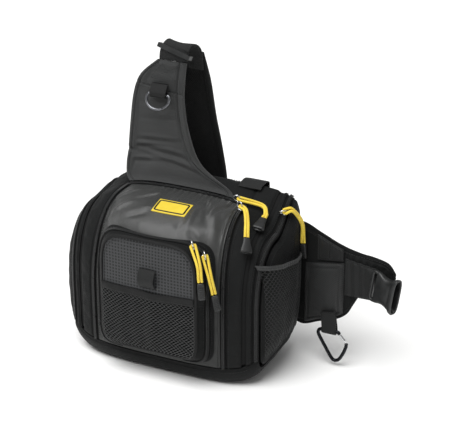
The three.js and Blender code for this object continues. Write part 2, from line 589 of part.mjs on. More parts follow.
const gateFrames = wireFrames([onHook(GATE.foot), onHook(GATE.nose)], 4);
gateFrames[0].side.multiplyScalar(GATE.footWire / GATE.wire);
gateFrames[0].up.multiplyScalar(GATE.footWire / GATE.wire);
sweepMesh('carabiner_gate', 'steel', gateFrames, circle(GATE.wire, 8));

const PEG = { radius: 0.65, tall: 5.4, above: 5.6 };
const SLIDER = { wide: 7.5, long: 7, thick: 3, above: 2 };
const GRIP_SECTION = [
  [-1, -0.6], [-0.6, -1], [0.6, -1], [1, -0.6], [1, 0.6], [0.6, 1], [-0.6, 1], [-1, 0.6],
];

// A zip pull: a slider with a peg, a doubled cord round the peg, and a moulded grip on the cord's ends.
function zipPull(name, slider, out, route, grip, front = out) {
  const down = route[0].clone().sub(slider).projectOnPlane(out).normalize();
  const side = down.clone().cross(out).normalize();
  const pegAt = slider.clone().addScaledVector(out, PEG.above);
  const peg = new THREE.CylinderGeometry(PEG.radius, PEG.radius, PEG.tall, 8).rotateX(Math.PI / 2);
  peg.translate(0, 0, 1 + PEG.tall / 2);
  const body = block([SLIDER.wide, SLIDER.long, SLIDER.thick]).add(solidOf(peg));
  const sliderAt = slider.clone().addScaledVector(out, SLIDER.above);
  addSolid(`${name}_slider`, 'steel', body, framed(sliderAt, side, down));
  const end = route[route.length - 1];
  const along = end.clone().sub(route[route.length - 2]).normalize();
  const stretch = [...route.slice(0, -1), end.clone().addScaledVector(along, -5), end];
  const across = along.clone().cross(front).normalize();
  const legs = (sign) => stretch.map((p, i) => p.clone()
    .addScaledVector(side.clone().lerp(across, i / (stretch.length - 1)).normalize(), sign * CORD_LEG));
  const round = [1, 0.5, 0, -0.5, -1].map((t) => pegAt.clone()
    .addScaledVector(side, CORD_BEND * Math.sin((Math.PI / 2) * t))
    .addScaledVector(down, -CORD_BEND * Math.cos((Math.PI / 2) * t)));
  const path = [...legs(1).reverse(), ...round, ...legs(-1)];
  sweepMesh(`${name}_cord`, 'cord', wireFrames(path, 2 * (path.length - 1)), circle(CORD / 2, 8));
  const face = along.clone().cross(across);
  const frames = [0, 0.15, 0.85, 1].map((t, i) => ({
    at: end.clone().addScaledVector(along, 2 * CLEAR + grip.long * t),
    side: across.clone().multiplyScalar(mix(grip.head, grip.foot, t) / 2 * (i === 3 ? 0.8 : 1)),
    up: face.clone().multiplyScalar(grip.thick / 2),
  }));
  sweepMesh(`${name}_grip`, 'moulded', frames, GRIP_SECTION);
}
const pocketOut = (turn) => V(Math.cos(rad(turn)) * 0.6, -0.75, Math.sin(rad(turn)) * 0.4).normalize();
const onPocketZip = (turn, lift) => pocketPoint(turn, 0.63).addScaledVector(pocketOut(turn), lift);
const SLIM = { head: 8.4, foot: 9.5, long: 22, thick: 6 };
const FLARED = { head: 9, foot: 15, long: 20, thick: 6 };
zipPull('pocket_pull_a', onPocketZip(52, 4.6), pocketOut(52), [V(69, -92.5, 174), V(71, -92.5, 152)], SLIM);
zipPull('pocket_pull_b', onPocketZip(41, 3.4), pocketOut(30), [V(80, -85, 158), V(84, -82, 134)], SLIM);
zipPull('main_pull_a', onBody(82, 92, 0.2), outward(82, 92),
  [onBody(88.5, 95, 6), onBody(97, 107, 6), onBody(104, 121, 6)], FLARED);
zipPull('main_pull_b', onBody(74, 79, 0.4), outward(74, 79),
  [onBody(101, 74, 7), onBody(108, 82, 7), onBody(108.5, 91, 6.5)], FLARED);
zipPull('rear_pull', onBody(127, 64, 2), outward(127, 64),
  [V(137, 30, 208), V(143, 45, 186), V(142.8, 50.5, 156)], SLIM, V(0, -1, 0));

export default bag;
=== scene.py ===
import json
import bpy
import numpy as np
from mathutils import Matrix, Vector


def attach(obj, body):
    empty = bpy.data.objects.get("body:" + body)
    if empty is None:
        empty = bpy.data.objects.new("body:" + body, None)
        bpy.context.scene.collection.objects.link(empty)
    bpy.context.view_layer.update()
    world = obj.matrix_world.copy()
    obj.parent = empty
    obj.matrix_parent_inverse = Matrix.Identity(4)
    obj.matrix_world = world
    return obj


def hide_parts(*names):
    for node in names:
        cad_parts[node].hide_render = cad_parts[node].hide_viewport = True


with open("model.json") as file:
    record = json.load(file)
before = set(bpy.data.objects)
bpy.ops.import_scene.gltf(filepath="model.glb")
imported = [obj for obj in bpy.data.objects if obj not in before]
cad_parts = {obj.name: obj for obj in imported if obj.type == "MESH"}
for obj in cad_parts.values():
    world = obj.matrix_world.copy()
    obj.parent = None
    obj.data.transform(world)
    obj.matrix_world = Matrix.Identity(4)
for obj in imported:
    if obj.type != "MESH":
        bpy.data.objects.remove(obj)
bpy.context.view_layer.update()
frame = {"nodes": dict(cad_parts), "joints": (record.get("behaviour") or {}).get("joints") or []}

# The view. The bag stands on a plain pale floor and is seen from its front right, a little from above,
# through a long lens. The key light is broad and high, nearly at the front, with a weak fill all round.
MM = 0.001
IMAGE_WIDTH = 475
FOCAL_PIXELS = 1572
EYE = Vector((810.4, -1573.7, 1013.6)) * MM
AIM = Vector((57.74, 40.35, 183.11)) * MM
FLOOR_SIDE = 60.0
FLOOR_COLOUR = "#F8F8F7"
KEY_FROM = Vector((-0.2, -0.5, 1.3))
KEY_STRENGTH = 3.5
KEY_SPREAD = 50
FILL_STRENGTH = 0.32

scene = bpy.context.scene
scene.view_settings.view_transform = "Standard"
camera_data = bpy.data.cameras.new("camera")
camera_data.sensor_width = 36
camera_data.lens = FOCAL_PIXELS * camera_data.sensor_width / IMAGE_WIDTH
camera_data.clip_end = 100
camera = bpy.data.objects.new("camera", camera_data)
camera.location = EYE
camera.rotation_mode = "QUATERNION"
camera.rotation_quaternion = (AIM - EYE).to_track_quat("-Z", "Y")
scene.collection.objects.link(camera)
scene.camera = camera


def linear(code):
    """An sRGB hex colour as linear red, green, blue and alpha."""
    c = np.array([int(code[i:i + 2], 16) / 255 for i in (1, 3, 5)])
    c = np.where(c <= 0.04045, c / 12.92, ((c + 0.055) / 1.055) ** 2.4)
    return (*c.tolist(), 1.0)


def fill(tree, node, inputs):
    """Sets a node's inputs to values, or links them to other nodes' outputs."""
    for key, value in dict(inputs).items():
        if isinstance(value, bpy.types.NodeSocket):
            tree.links.new(value, node.inputs[key])
        else:
            node.inputs[key].default_value = value


def put(tree, kind, inputs=(), **settings):
    """Adds a node with its settings, and sets or links its inputs."""
    made = tree.nodes.new(kind)
    for key, value in settings.items():
        setattr(made, key, value)
    fill(tree, made, inputs)
    return made


def new_material(name):
    """An empty material, its node tree and its shader."""
    material = bpy.data.materials.new(name)
    material.use_nodes = True
    return material, material.node_tree, material.node_tree.nodes["Principled BSDF"]


sun = bpy.data.lights.new("key", "SUN")
sun.energy = KEY_STRENGTH
sun.angle = np.radians(KEY_SPREAD)
key = bpy.data.objects.new("key", sun)
key.rotation_mode = "QUATERNION"
key.rotation_quaternion = (-KEY_FROM).to_track_quat("-Z", "Y")
scene.collection.objects.link(key)
world = bpy.data.worlds.new("fill")
world.use_nodes = True
sky = world.node_tree.nodes["Background"]
fill(world.node_tree, sky, {"Color": linear("#FFFFFF"), "Strength": FILL_STRENGTH})
scene.world = world

floor_mesh = bpy.data.meshes.new("floor")
floor_corners = np.array([(-1, -1, 0), (1, -1, 0), (1, 1, 0), (-1, 1, 0)]) * FLOOR_SIDE / 2
floor_mesh.from_pydata(floor_corners.tolist(), [], [(0, 1, 2, 3)])
floor = bpy.data.objects.new("floor", floor_mesh)
scene.collection.objects.link(floor)
floor_paint, tree, shader = new_material("pale_matt_floor")
fill(tree, shader, {"Base Color": linear(FLOOR_COLOUR), "Roughness": 0.9})
floor_mesh.materials.append(floor_paint)

# The shell of the bag. Its panels are cut from black nylon and sewn edge to edge, so each one swells a
# little between its seams and rolls in at them. The formula is the one that the solids follow, in mm.
HALF_WIDTH = 150.0
CROWN_TOP = 217.0
RIDGE_TOP = 227.0
AXIS_HEIGHT = 98.0
FRONT_REACH = 76.0
BACK_REACH = 62.0
BASE_SAG = 0.8
EDGE = 130.85
RIGHT_END = 0.5
SWELL = 20.0
SWELL_HALF = 76.0


def rise(low, high, x):
    """0 below low, 1 above high, and 3t^2 - 2t^3 between."""
    t = np.clip((x - low) / (high - low), 0, 1)
    return t * t * (3 - 2 * t)


def mix(a, b, t):
    """a where t is 0, b where t is 1, and in proportion between."""
    return a + (b - a) * t


def bell(x, half):
    """exp(-(x / half)^2), a smooth bump of that half-width."""
    return np.exp(-(x / half) ** 2)


def xyz(x, y, z):
    """Points from their three coordinates, numbers or arrays that fit together."""
    return np.stack(np.broadcast_arrays(x, y, z), -1)


def taper(x, into, out):
    """Share of the full reach that is left at x: (1 - |x / half width|^into)^(1 / out)."""
    return np.maximum(1 - np.abs(x / HALF_WIDTH) ** into, 0) ** (1 / out)


def section_power(x, behind, above):
    """Power of a section's superellipse quarter: square behind and below, rounder over the front's crown."""
    crown = mix(3.0, 2.3, rise(40, 92, np.abs(x)))
    return np.where(above, np.where(behind, 9.0, crown), 8.0)


def section_reach(x, behind):
    """How far the section at x goes back or forward from the axis."""
    return np.where(behind, BACK_REACH * taper(x, 7, 7), FRONT_REACH * taper(x, 3, 3))


def section_tall(x, back, above):
    """How far the section at x goes up or down from the axis; back is 0 at the crown and 1 at the ridge."""
    ridge = np.where(x > 0, taper(x, 9, 9), taper(x, 2.9, 2.9))
    top = (mix(CROWN_TOP, RIDGE_TOP, back) - AXIS_HEIGHT) * mix(taper(x, 3, 3), ridge, back)
    return np.where(above, top, (AXIS_HEIGHT + BASE_SAG) * taper(x, 8, 1.6))


def squeeze_end(x):
    """x with what lies past the right edge drawn in, because that end is flatter than the left one."""
    return np.where(x > EDGE, EDGE + (x - EDGE) * RIGHT_END, x)


def body_point(x, turn):
    """Point of the shell across the width at x and round the axis at turn degrees (0 back, 90 up, 180
    front). Each section is four superellipse quarters, drawn in towards the ends, with a flat base."""
    x, turn = np.broadcast_arrays(np.asarray(x, float), np.asarray(turn, float))
    c, s = np.cos(np.radians(turn)), np.sin(np.radians(turn))
    power = section_power(x, c > 0, s > 0)
    r = (np.abs(c) ** power + np.abs(s) ** power) ** (-1 / power)
    tall = section_tall(x, rise(0, 1, r * c), s > 0)
    height = AXIS_HEIGHT + np.maximum(-AXIS_HEIGHT, tall * r * s)
    return xyz(squeeze_end(x), section_reach(x, c > 0) * r * c, height)


def swell(x, z):
    """How far the front panel's crown stands forward: a dome across, highest just over the pocket."""
    dome = np.maximum(1 - (x / SWELL_HALF) ** 2, 0) ** 1.3
    return SWELL * dome * rise(140, 190, z) * (1 - rise(202, 219, z))


def crown_point(x, turn):
    """The shell with the crown's swell."""
    p = body_point(x, turn)
    p[..., 1] -= np.where(np.asarray(turn) > 90, swell(p[..., 0], p[..., 2]), 0)
    return p


def unit(v):
    """Vectors scaled to length 1."""
    return v / np.maximum(np.linalg.norm(v, axis=-1, keepdims=True), 1e-12)


def normal_of(surface, u, v, away, step):
    """Unit normal of surface(u, v), from two small steps, turned to the side of the away vectors."""
    u, v = np.broadcast_arrays(np.asarray(u, float), np.asarray(v, float))
    along = surface(u + step, v) - surface(u - step, v)
    n = unit(np.cross(along, surface(u, v + step) - surface(u, v - step)))
    return n * np.where(np.sum(n * away, -1, keepdims=True) < 0, -1, 1)


def shell_normal(x, turn, surface=body_point):
    """Outward normal of the shell: away from a core line along its axis."""
    p = surface(x, turn)
    core = p * np.array([0.4, 0, 0]) + np.array([0, 0, AXIS_HEIGHT])
    return normal_of(surface, x, turn, p - core, 0.05)


def noise(points, size, seed):
    """Smooth noise from -1 to 1: random values on a lattice of that size, blended by 3t^2 - 2t^3."""
    table = np.random.default_rng(seed).uniform(-1, 1, (32, 32, 32))
    p = np.asarray(points, float) / size
    cell = np.floor(p).astype(int)
    t = rise(0, 1, p - cell)
    total = 0
    for corner in np.ndindex(2, 2, 2):
        weight = np.prod(np.where(np.array(corner) == 1, t, 1 - t), -1)
        i, j, k = np.moveaxis((cell + np.array(corner)) % 32, -1, 0)
        total = total + weight * table[i, j, k]
    return total


def run(points, axis):
    """Length along the grid's rows or columns, from its first line."""
    step = np.linalg.norm(np.diff(points, axis=axis), axis=-1)
    first = np.zeros_like(np.take(step, [0], axis=axis))
    return np.concatenate([first, np.cumsum(step, axis=axis)], axis=axis)


def to_edge(s, t):
    """Distance to the nearest edge of a grid, from the lengths along its rows and columns."""
    return np.minimum(np.minimum(s, s[-1:] - s), np.minimum(t, t[:, -1:] - t))


def new_piece(name, points, faces, material, uv=None, body="bag", slot=None, replaced=()):
    """Makes an object of points in millimetres and faces (arrays of vertex numbers), turned to face
    outwards, with uv in millimetres along the surface, and rides it on a body."""
    points = np.asarray(points, float).reshape(-1, 3)
    corners = [np.asarray(f) for f in faces if len(f)]
    volume = 0.0
    for f in corners:
        for k in range(1, f.shape[1] - 1):
            a, b, c = points[f[:, 0]], points[f[:, k]], points[f[:, k + 1]]
            volume += np.sum(a * np.cross(b, c))
    if volume < 0:
        corners = [f[:, ::-1] for f in corners]
    mesh = bpy.data.meshes.new(name)
    mesh.from_pydata((points * MM).tolist(), [], [q for f in corners for q in f.tolist()])
    mesh.polygons.foreach_set("use_smooth", np.full(len(mesh.polygons), True))
    if uv is not None:
        loops = np.zeros(len(mesh.loops), np.int32)
        mesh.loops.foreach_get("vertex_index", loops)
        layer = mesh.uv_layers.new(name="along")
        flat = np.asarray(uv, float).reshape(-1, 2)[loops] * MM
        layer.data.foreach_set("uv", flat.astype(np.float32).ravel())
    mesh.materials.append(material)
    piece = bpy.data.objects.new(name, mesh)
    scene.collection.objects.link(piece)
    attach(piece, body)
    if replaced:
        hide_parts(*replaced)
    return piece


def grid_faces(rows, columns, ring=False, start=0):
    """Quads of a grid of vertices numbered row by row; ring joins the last row to the first."""
    i = np.arange(rows if ring else rows - 1)[:, None]
    j = np.arange(columns - 1)[None, :]
    near, far = i * columns + j, (i + 1) % rows * columns + j
    return np.stack([near, far, far + 1, near + 1], -1).reshape(-1, 4) + start


def wall_faces(rows, columns, ring=False, tip=False):
    """Faces of a closed wall: an outer grid, the inner grid after it, and rims between their edges.
    tip closes the last column, a small ring, with one polygon on each side."""
    count = rows * columns
    number = np.arange(count).reshape(rows, columns)

    def rim(line, wrap):
        """A strip of quads between a line of the outer grid and the same line of the inner one."""
        a, b = (line, np.roll(line, -1)) if wrap else (line[:-1], line[1:])
        return np.stack([a, a + count, b + count, b], -1)

    made = [grid_faces(rows, columns, ring), grid_faces(rows, columns, ring, count)[:, ::-1]]
    made.append(rim(number[:, 0], ring)[:, ::-1])
    if tip:
        made += [number[None, ::-1, -1], number[None, :, -1] + count]
    else:
        made.append(rim(number[:, -1], ring))
    if not ring:
        made += [rim(number[0], False), rim(number[-1], False)[:, ::-1]]
    return made


def wall(name, outer, inner, material, ring=False, tip=False, **ties):
    """A closed wall between two grids of points; its uv is the length along the grid's columns and rows."""
    faces = wall_faces(*outer.shape[:2], ring, tip)
    uv = np.stack([run(outer, 0), run(outer, 1)], -1).reshape(-1, 2)
    both = np.concatenate([outer.reshape(-1, 3), inner.reshape(-1, 3)])
    return new_piece(name, both, faces, material, np.concatenate([uv, uv]), **ties)


def wave_scale(period):
    """Scale of a wave texture whose bands repeat every period, in millimetres on a map in metres."""
    return 2 * np.pi / 20 / (period * MM)


# Woven nylon, from a spun thread. Warp and weft cross over and under, so light catches each crossing, and
# dust and rubbing leave it paler in patches. Threads are drawn two to three times as coarse as real to show.
def woven_cloth(name, ground, nap, thread, depth, roughness, gloss, sheen):
    """The product of one wave along the warp and one along the weft raises every second crossing."""
    material, tree, shader = new_material(name)
    at = put(tree, "ShaderNodeTexCoord").outputs["UV"]
    scale = wave_scale(2 * thread)
    threads = [put(tree, "ShaderNodeTexWave", {"Vector": at, "Scale": scale}, bands_direction=way)
               for way in ("X", "Y")]
    centred = [put(tree, "ShaderNodeMath", {0: wave.outputs["Fac"], 1: 0.5}, operation="SUBTRACT")
               for wave in threads]
    crossing = put(tree, "ShaderNodeMath", {0: centred[0].outputs[0], 1: centred[1].outputs[0]},
                   operation="MULTIPLY")
    patches = put(tree, "ShaderNodeTexNoise",
                  {"Vector": at, "Scale": 1 / (24 * MM), "Detail": 5.0, "Roughness": 0.6})
    lift = put(tree, "ShaderNodeMath", {0: crossing.outputs[0], 1: 1.3, 2: patches.outputs["Fac"]},
               operation="MULTIPLY_ADD")
    tone = put(tree, "ShaderNodeMix", {0: lift.outputs[0], 6: linear(ground), 7: linear(nap)},
               data_type="RGBA")
    rough = put(tree, "ShaderNodeMapRange",
                {"Value": patches.outputs["Fac"], "From Min": 0.3, "From Max": 0.7,
                 "To Min": roughness - 0.07, "To Max": roughness + 0.07})
    crumple = put(tree, "ShaderNodeTexNoise", {"Vector": at, "Scale": 1 / (7 * MM), "Detail": 3.0})
    soft = put(tree, "ShaderNodeBump",
               {"Height": crumple.outputs["Fac"], "Distance": 0.5 * MM, "Strength": 0.4})
    bump = put(tree, "ShaderNodeBump",
               {"Height": crossing.outputs[0], "Distance": depth * MM, "Strength": 1.0,
                "Normal": soft.outputs["Normal"]})
    fill(tree, shader, {"Base Color": tone.outputs[2], "Roughness": rough.outputs[0],
                        "Normal": bump.outputs["Normal"], "Specular IOR Level": gloss,
                        "Sheen Weight": sheen, "Sheen Roughness": 0.45})
    return material


matt_nylon = woven_cloth("matt_woven_nylon", "#0B0C0C", "#171818", 0.75, 0.5, 0.62, 0.14, 0.03)
coated_nylon = woven_cloth("coated_woven_nylon", "#222322", "#343534", 0.7, 0.35, 0.34, 0.25, 0.1)
pad_nylon = woven_cloth("padded_woven_nylon", "#232424", "#343535", 0.8, 0.5, 0.55, 0.35, 0.08)
lining_mesh = woven_cloth("spacer_mesh_lining", "#080808", "#121313", 1.5, 1.1, 0.8, 0.2, 0.02)
back_mesh = woven_cloth("padded_back_mesh", "#121313", "#222323", 1.6, 1.2, 0.7, 0.25, 0.05)
tape_weave = woven_cloth("zip_tape_weave", "#060606", "#0D0E0E", 0.5, 0.3, 0.7, 0.2, 0.02)

# Painted shade: the front panel's glossy coat is faded out lower down, so the lower panel, which stands in
# shade, reflects less than the crown. Its weight grows with the length up the panel.
COAT_FROM, COAT_FULL = 120.0, 172.0
tree = coated_nylon.node_tree
shader = tree.nodes["Principled BSDF"]
up = put(tree, "ShaderNodeSeparateXYZ", {0: put(tree, "ShaderNodeTexCoord").outputs["UV"]})
coat_painted_shade = put(tree, "ShaderNodeMapRange",
           {"Value": up.outputs[0], "From Min": COAT_FROM * MM, "From Max": COAT_FULL * MM})
fill(tree, shader, {"Coat Weight": coat_painted_shade.outputs[0], "Coat Roughness": 0.34,
                    "Coat Normal": shader.inputs["Normal"].links[0].from_socket})

SEAM = 0.35
PANEL_THICK = 2.4
PUFF, PUFF_REACH = 0.8, 12.0
SEAM_DIP, SEAM_DIP_HALF = 1.5, 1.8


def panel(name, across, turns, steps, material, relief=None, surface=body_point, thick=PANEL_THICK, lift=0.0,
          **ties):
    """A panel of the shell. x runs between two seam curves and the turn between two angles; each point is
    raised along the normal by lift, by a swell that rolls in at the seams, and by relief(points, s), where s
    is the length along the turn in millimetres."""
    turn = np.linspace(*turns, steps[0])[:, None]
    share = np.linspace(0, 1, steps[1])[None, :]
    low, high = (f(turn) if callable(f) else f + 0 * turn for f in across)
    x = mix(low, high, share)
    base = surface(x, turn + 0 * x)
    normal = shell_normal(x, turn + 0 * x, surface)
    s = run(base, 0)
    edge = to_edge(s, run(base, 1))
    height = lift + PUFF * (1 - np.exp(-edge / PUFF_REACH)) - SEAM_DIP * bell(edge, SEAM_DIP_HALF)
    height = height + 0.3 * noise(base, 22, 3) * rise(0, PUFF_REACH, edge)
    if relief is not None:
        height = height + relief(base, s) * rise(0, 3, edge)
    outer = base + normal * height[..., None]
    outer[..., 2] = np.maximum(outer[..., 2], 0)
    inner = base + normal * (np.minimum(height, lift) - thick)[..., None]
    inner[..., 2] = np.maximum(inner[..., 2], 0.6)
    return wall(name, outer, inner, material, **ties)


# The front panel, one coated cloth from the base to the head zip, with soft folds on its crown and gathers
# where it is sewn below the strap. The cloth is drawn flat under the label.
TRAY, HEAD, ZIP_BACK, RIDGE, BACK_FOOT = 216.8, 80.8, 77.0, 46.0, -36.8
FRONT_FOOT_HALF, FRONT_HEAD_HALF = 86.0, 76.0
GATHER_PITCH, GATHER_HEIGHT = 8.5, 4.6
LABEL_LEFT, LABEL_RIGHT, LABEL_LOW, LABEL_HIGH = -15.7, 29.0, 119.6, 107.2
FOLDS = np.array([
    # x, s from the head seam, lean in degrees, half-length, half-width, height
    (-60, 56, -48, 28, 5.0, 2.7),
    (-40, 36, -36, 26, 4.0, -2.565),
    (-64, 26, -42, 20, 3.5, 1.89),
    (-14, 52, -24, 28, 5.0, 1.89),
    (25, 50, 84, 26, 3.5, -2.7),
    (34, 54, 78, 30, 5.5, 2.7),
    (44, 30, 66, 22, 3.4, -2.43),
    (56, 24, 96, 20, 3.4, 2.43),
    (64, 20, 108, 18, 3.0, -2.16),
    (66, 56, 75, 26, 5.5, 2.16),
    (8, 26, 62, 14, 3.0, -1.35),
    (-76, 66, 78, 28, 4.0, -1.62),
    (-30, 70, -20, 22, 4.0, -1.485),
    (50, 82, 20, 22, 4.0, -1.35),
])


def panel_half(turn):
    """Half-width of the front panel, narrowing from its foot to its head by a power of the turn."""
    return mix(FRONT_FOOT_HALF, FRONT_HEAD_HALF, np.clip((180 - turn) / (180 - HEAD), 0, 1) ** 1.5)


def front_relief(points, s):
    """Sum of ridges, each height * bell(across) * bell(along), fine random creases, and a row of gathers
    with sharp valleys, |sin| of x, that die out some 20 mm below the head seam."""
    x, down = points[..., 0], s[-1:] - s
    total = 0.4 * noise(points, 9, 11) + 0.5 * noise(points, 17, 13)
    for fold_x, fold_s, lean, long, wide, high in FOLDS:
        c, q = np.cos(np.radians(lean)), np.sin(np.radians(lean))
        along = (x - fold_x) * c + (down - fold_s) * q
        aside = -(x - fold_x) * q + (down - fold_s) * c
        total = total + high * bell(aside, wide) * bell(along, long)
    low, high = body_point(6.0, np.array([LABEL_LOW, LABEL_HIGH]))[:, 2]
    under = rise(-10, 0, x - LABEL_LEFT) * rise(-10, 0, LABEL_RIGHT - x)
    under = under * rise(-8, 0, points[..., 2] - low) * rise(-8, 0, high - points[..., 2])
    total = total * (1 - under)
    reach = 13 + 7 * noise(points, 23, 7)
    gathers = np.abs(np.sin(np.pi * (x + 5 * noise(points, 26, 5)) / GATHER_PITCH)) - 0.6
    return total + GATHER_HEIGHT * gathers * np.exp(-down / reach) * rise(-50, 0, x)


front_turns = (TRAY, HEAD + 0.2)
panel("front_panel_cloth", (lambda d: -panel_half(d) + SEAM, lambda d: panel_half(d) - SEAM), front_turns,
      (200, 120), coated_nylon, front_relief, crown_point, slot="gloss_nylon", replaced=["front_panel"])

# The base, a tray of matt nylon turned up at the front and the back, and the padded back, whose mesh-covered
# foam is quilted by two upright channels.
CHANNEL_AT, CHANNEL_DEEP, CHANNEL_HALF = 62.0, 2.6, 2.2
BACK_THICK = 7.0


def base_relief(points, s):
    """The base stays flat where it rests, with slight dents up its sides."""
    return 0.7 * noise(points, 26, 21) * rise(4, 20, points[..., 2])


def back_relief(points, s):
    """A bell-shaped groove at each channel, and shallow dents."""
    groove = CHANNEL_DEEP * bell(np.abs(points[..., 0]) - CHANNEL_AT, CHANNEL_HALF)
    return 1.2 - groove + 0.5 * noise(points, 34, 31)


panel("base_cloth", (-EDGE + SEAM, EDGE - SEAM), (TRAY + 0.6, 360 + BACK_FOOT - 0.6), (72, 110), matt_nylon,
      base_relief, slot="nylon", replaced=["base_panel"])
panel("back_pad", (-EDGE + SEAM, EDGE - SEAM), (BACK_FOOT, RIDGE - 0.4), (80, 120), back_mesh, back_relief,
      thick=BACK_THICK, slot="padding", replaced=["back_panel"])

# The top and the gussets, slack strips of matt nylon beside the zips. On each side a deep fold of thin cloth
# lies between the front and the rear gusset and lets the bag grow; the zips' tapes run along their edges.
ZIP_WIDTH = 7.0
FOLD_AT, FOLD_HALF = 114.5, 4.0
REAR_ZIP_AT = 127.0
REAR_ZIP_HALF = ZIP_WIDTH / 2
TAPE_SUNK = -0.3
head_half = FRONT_HEAD_HALF + ZIP_WIDTH
gusset_turns = (TRAY, RIDGE + 0.4)


def crease_relief(points, s):
    """Slack cloth: shallow creases that run across the panel."""
    return 0.7 * noise(points * np.array([1.0, 0.45, 1.0]), 13, 41) + 0.35 * noise(points, 6, 43)


panel("top_cloth", (-head_half, head_half), (ZIP_BACK - 0.2, RIDGE + 0.4), (40, 100), matt_nylon,
      crease_relief, slot="nylon", replaced=["top_panel"])
panel("head_zip_tape", (-head_half, head_half), (HEAD - 0.2, ZIP_BACK + 0.2), (8, 90), pad_nylon,
      lift=0.2, slot="coil", replaced=["main_zip_top"])
for side, label in ((-1, "left"), (1, "right")):
    panel(f"front_gusset_{label}_cloth",
          (lambda d: side * (panel_half(d) + ZIP_WIDTH + SEAM), side * (FOLD_AT - FOLD_HALF + 0.6)),
          gusset_turns, (200, 20), matt_nylon, crease_relief, slot="nylon",
          replaced=[f"front_gusset_{label}"])
    panel(f"rear_gusset_{label}_cloth",
          (side * (FOLD_AT + FOLD_HALF - 2.4), side * (REAR_ZIP_AT - REAR_ZIP_HALF - SEAM)), gusset_turns,
          (200, 12), matt_nylon, crease_relief, slot="nylon", replaced=[f"rear_gusset_{label}"])
    panel(f"fold_{label}_cloth", (side * (FOLD_AT - FOLD_HALF - 3), side * (FOLD_AT + FOLD_HALF + 3)),
          gusset_turns, (160, 10), tape_weave, lift=-3.1, thick=1.4, slot="coil",
          replaced=[f"fold_{label}"])
    panel(f"main_zip_{label}_tape",
          (lambda d: side * panel_half(d), lambda d: side * (panel_half(d) + ZIP_WIDTH)), front_turns,
          (180, 8), tape_weave, lift=TAPE_SUNK, slot="coil", replaced=[f"main_zip_{label}"])
    panel(f"rear_zip_{label}_tape",
          (side * (REAR_ZIP_AT - REAR_ZIP_HALF), side * (REAR_ZIP_AT + REAR_ZIP_HALF)), gusset_turns,
          (180, 8), tape_weave, lift=TAPE_SUNK, slot="coil", replaced=[f"rear_zip_{label}"])

# The ends of the bag. Each is one panel of the same matt nylon, sewn in inside the rear zip and slack over
# what is packed.
END_GAP = 0.7
for side, label in ((-1, "left"), (1, "right")):
    turn = np.linspace(0, 360, 140, endpoint=False)[:, None]
    start = float(taper(np.array(EDGE + END_GAP * (4 if side > 0 else 1)), 3, 3))
    shrink = start * (1 - np.linspace(0, 0.997, 46)[None, :])
    x = side * HALF_WIDTH * (1 - shrink ** 3) ** (1 / 3)
    base = body_point(x, turn)
    normal = shell_normal(x, turn)
    depth = run(base, 1)
    height = 0.6 * (1 - np.exp(-depth / PUFF_REACH)) - 0.9 * bell(depth, 2)
    slack = 1.5 * noise(base * np.array([1, 1, 0.5]), 20, 51) + 0.6 * noise(base, 9, 53)
    height = height + slack * rise(0, PUFF_REACH, depth)
    outer = base + normal * height[..., None]
    wall(f"end_{label}_cloth", outer, outer - PANEL_THICK * normal, matt_nylon, ring=True, tip=True,
         slot="nylon", replaced=[f"end_panel_{label}"])

# The zips of the shell. Each is a nylon coil sewn to a woven tape, and the coil's turns show as a close row
# of teeth. The main zip runs up both sides of the front panel and across its head; a rear one rings each end.
COIL_PITCH = 1.5
COIL_OFF_CENTRE = 1.0
COIL_TOOTH = (0.52, 1.35, 0.6)
COIL_LIFT = 0.5
BOX = np.array([(x, y, z) for x in (-1, 1) for y in (-1, 1) for z in (-1, 1)], float)
BOX_FACES = np.array([(0, 1, 3, 2), (4, 6, 7, 5), (0, 4, 5, 1), (2, 3, 7, 6), (0, 2, 6, 4), (1, 5, 7, 3)])


def moulded_plastic(name, ground, worn, roughness, gloss=0.4):
    """A fine spark-eroded grain, paler where rubbed."""
    material, tree, shader = new_material(name)
    at = put(tree, "ShaderNodeTexCoord").outputs["Object"]
    grain = put(tree, "ShaderNodeTexNoise", {"Vector": at, "Scale": 1 / (0.9 * MM), "Detail": 2.0})
    rubbed = put(tree, "ShaderNodeTexNoise", {"Vector": at, "Scale": 1 / (9 * MM), "Detail": 4.0})
    tone = put(tree, "ShaderNodeMix", {0: rubbed.outputs["Fac"], 6: linear(ground), 7: linear(worn)},
               data_type="RGBA")
    rough = put(tree, "ShaderNodeMapRange",
                {"Value": rubbed.outputs["Fac"], "From Min": 0.3, "From Max": 0.7,
                 "To Min": roughness - 0.08, "To Max": roughness + 0.08})
    bump = put(tree, "ShaderNodeBump",
               {"Height": grain.outputs["Fac"], "Distance": 0.12 * MM, "Strength": 0.5})
    fill(tree, shader, {"Base Color": tone.outputs[2], "Roughness": rough.outputs[0],
                        "Normal": bump.outputs["Normal"], "Specular IOR Level": gloss})
    return material


coil_plastic = moulded_plastic("nylon_coil", "#0E0F0F", "#1D1E1E", 0.34, 0.5)
black_thread = moulded_plastic("black_sewing_thread", "#141515", "#262727", 0.55, 0.35)


def scatter(shape, faces, at, axes):
    """Copies of a small shape: its point (x, y, z) lands at + x * first axis + y * second + z * third."""
    points = at[:, None, :] + np.einsum("kc,ncd->nkd", shape, axes)
    start = np.arange(len(at))[:, None, None] * len(shape)
    return points.reshape(-1, 3), [(f[None] + start).reshape(-1, f.shape[1]) for f in faces]


def even(path, normals, pitch):
    """Points every pitch along a path, with the axes there: along it, across it and out of the surface."""
    s = run(path, 0)
    count = max(int(s[-1] / pitch), 2)
    place = (np.arange(count) + 0.5) * s[-1] / count

    def read(values, where):
        """The values at these lengths along the path, straight between its points."""
        return np.stack([np.interp(where, s, values[:, k]) for k in range(3)], -1)

    ahead = unit(read(path, place + 0.3) - read(path, place - 0.3))
    across = unit(np.cross(read(normals, place), ahead))
    return read(path, place), np.stack([ahead, across, np.cross(ahead, across)], 1)


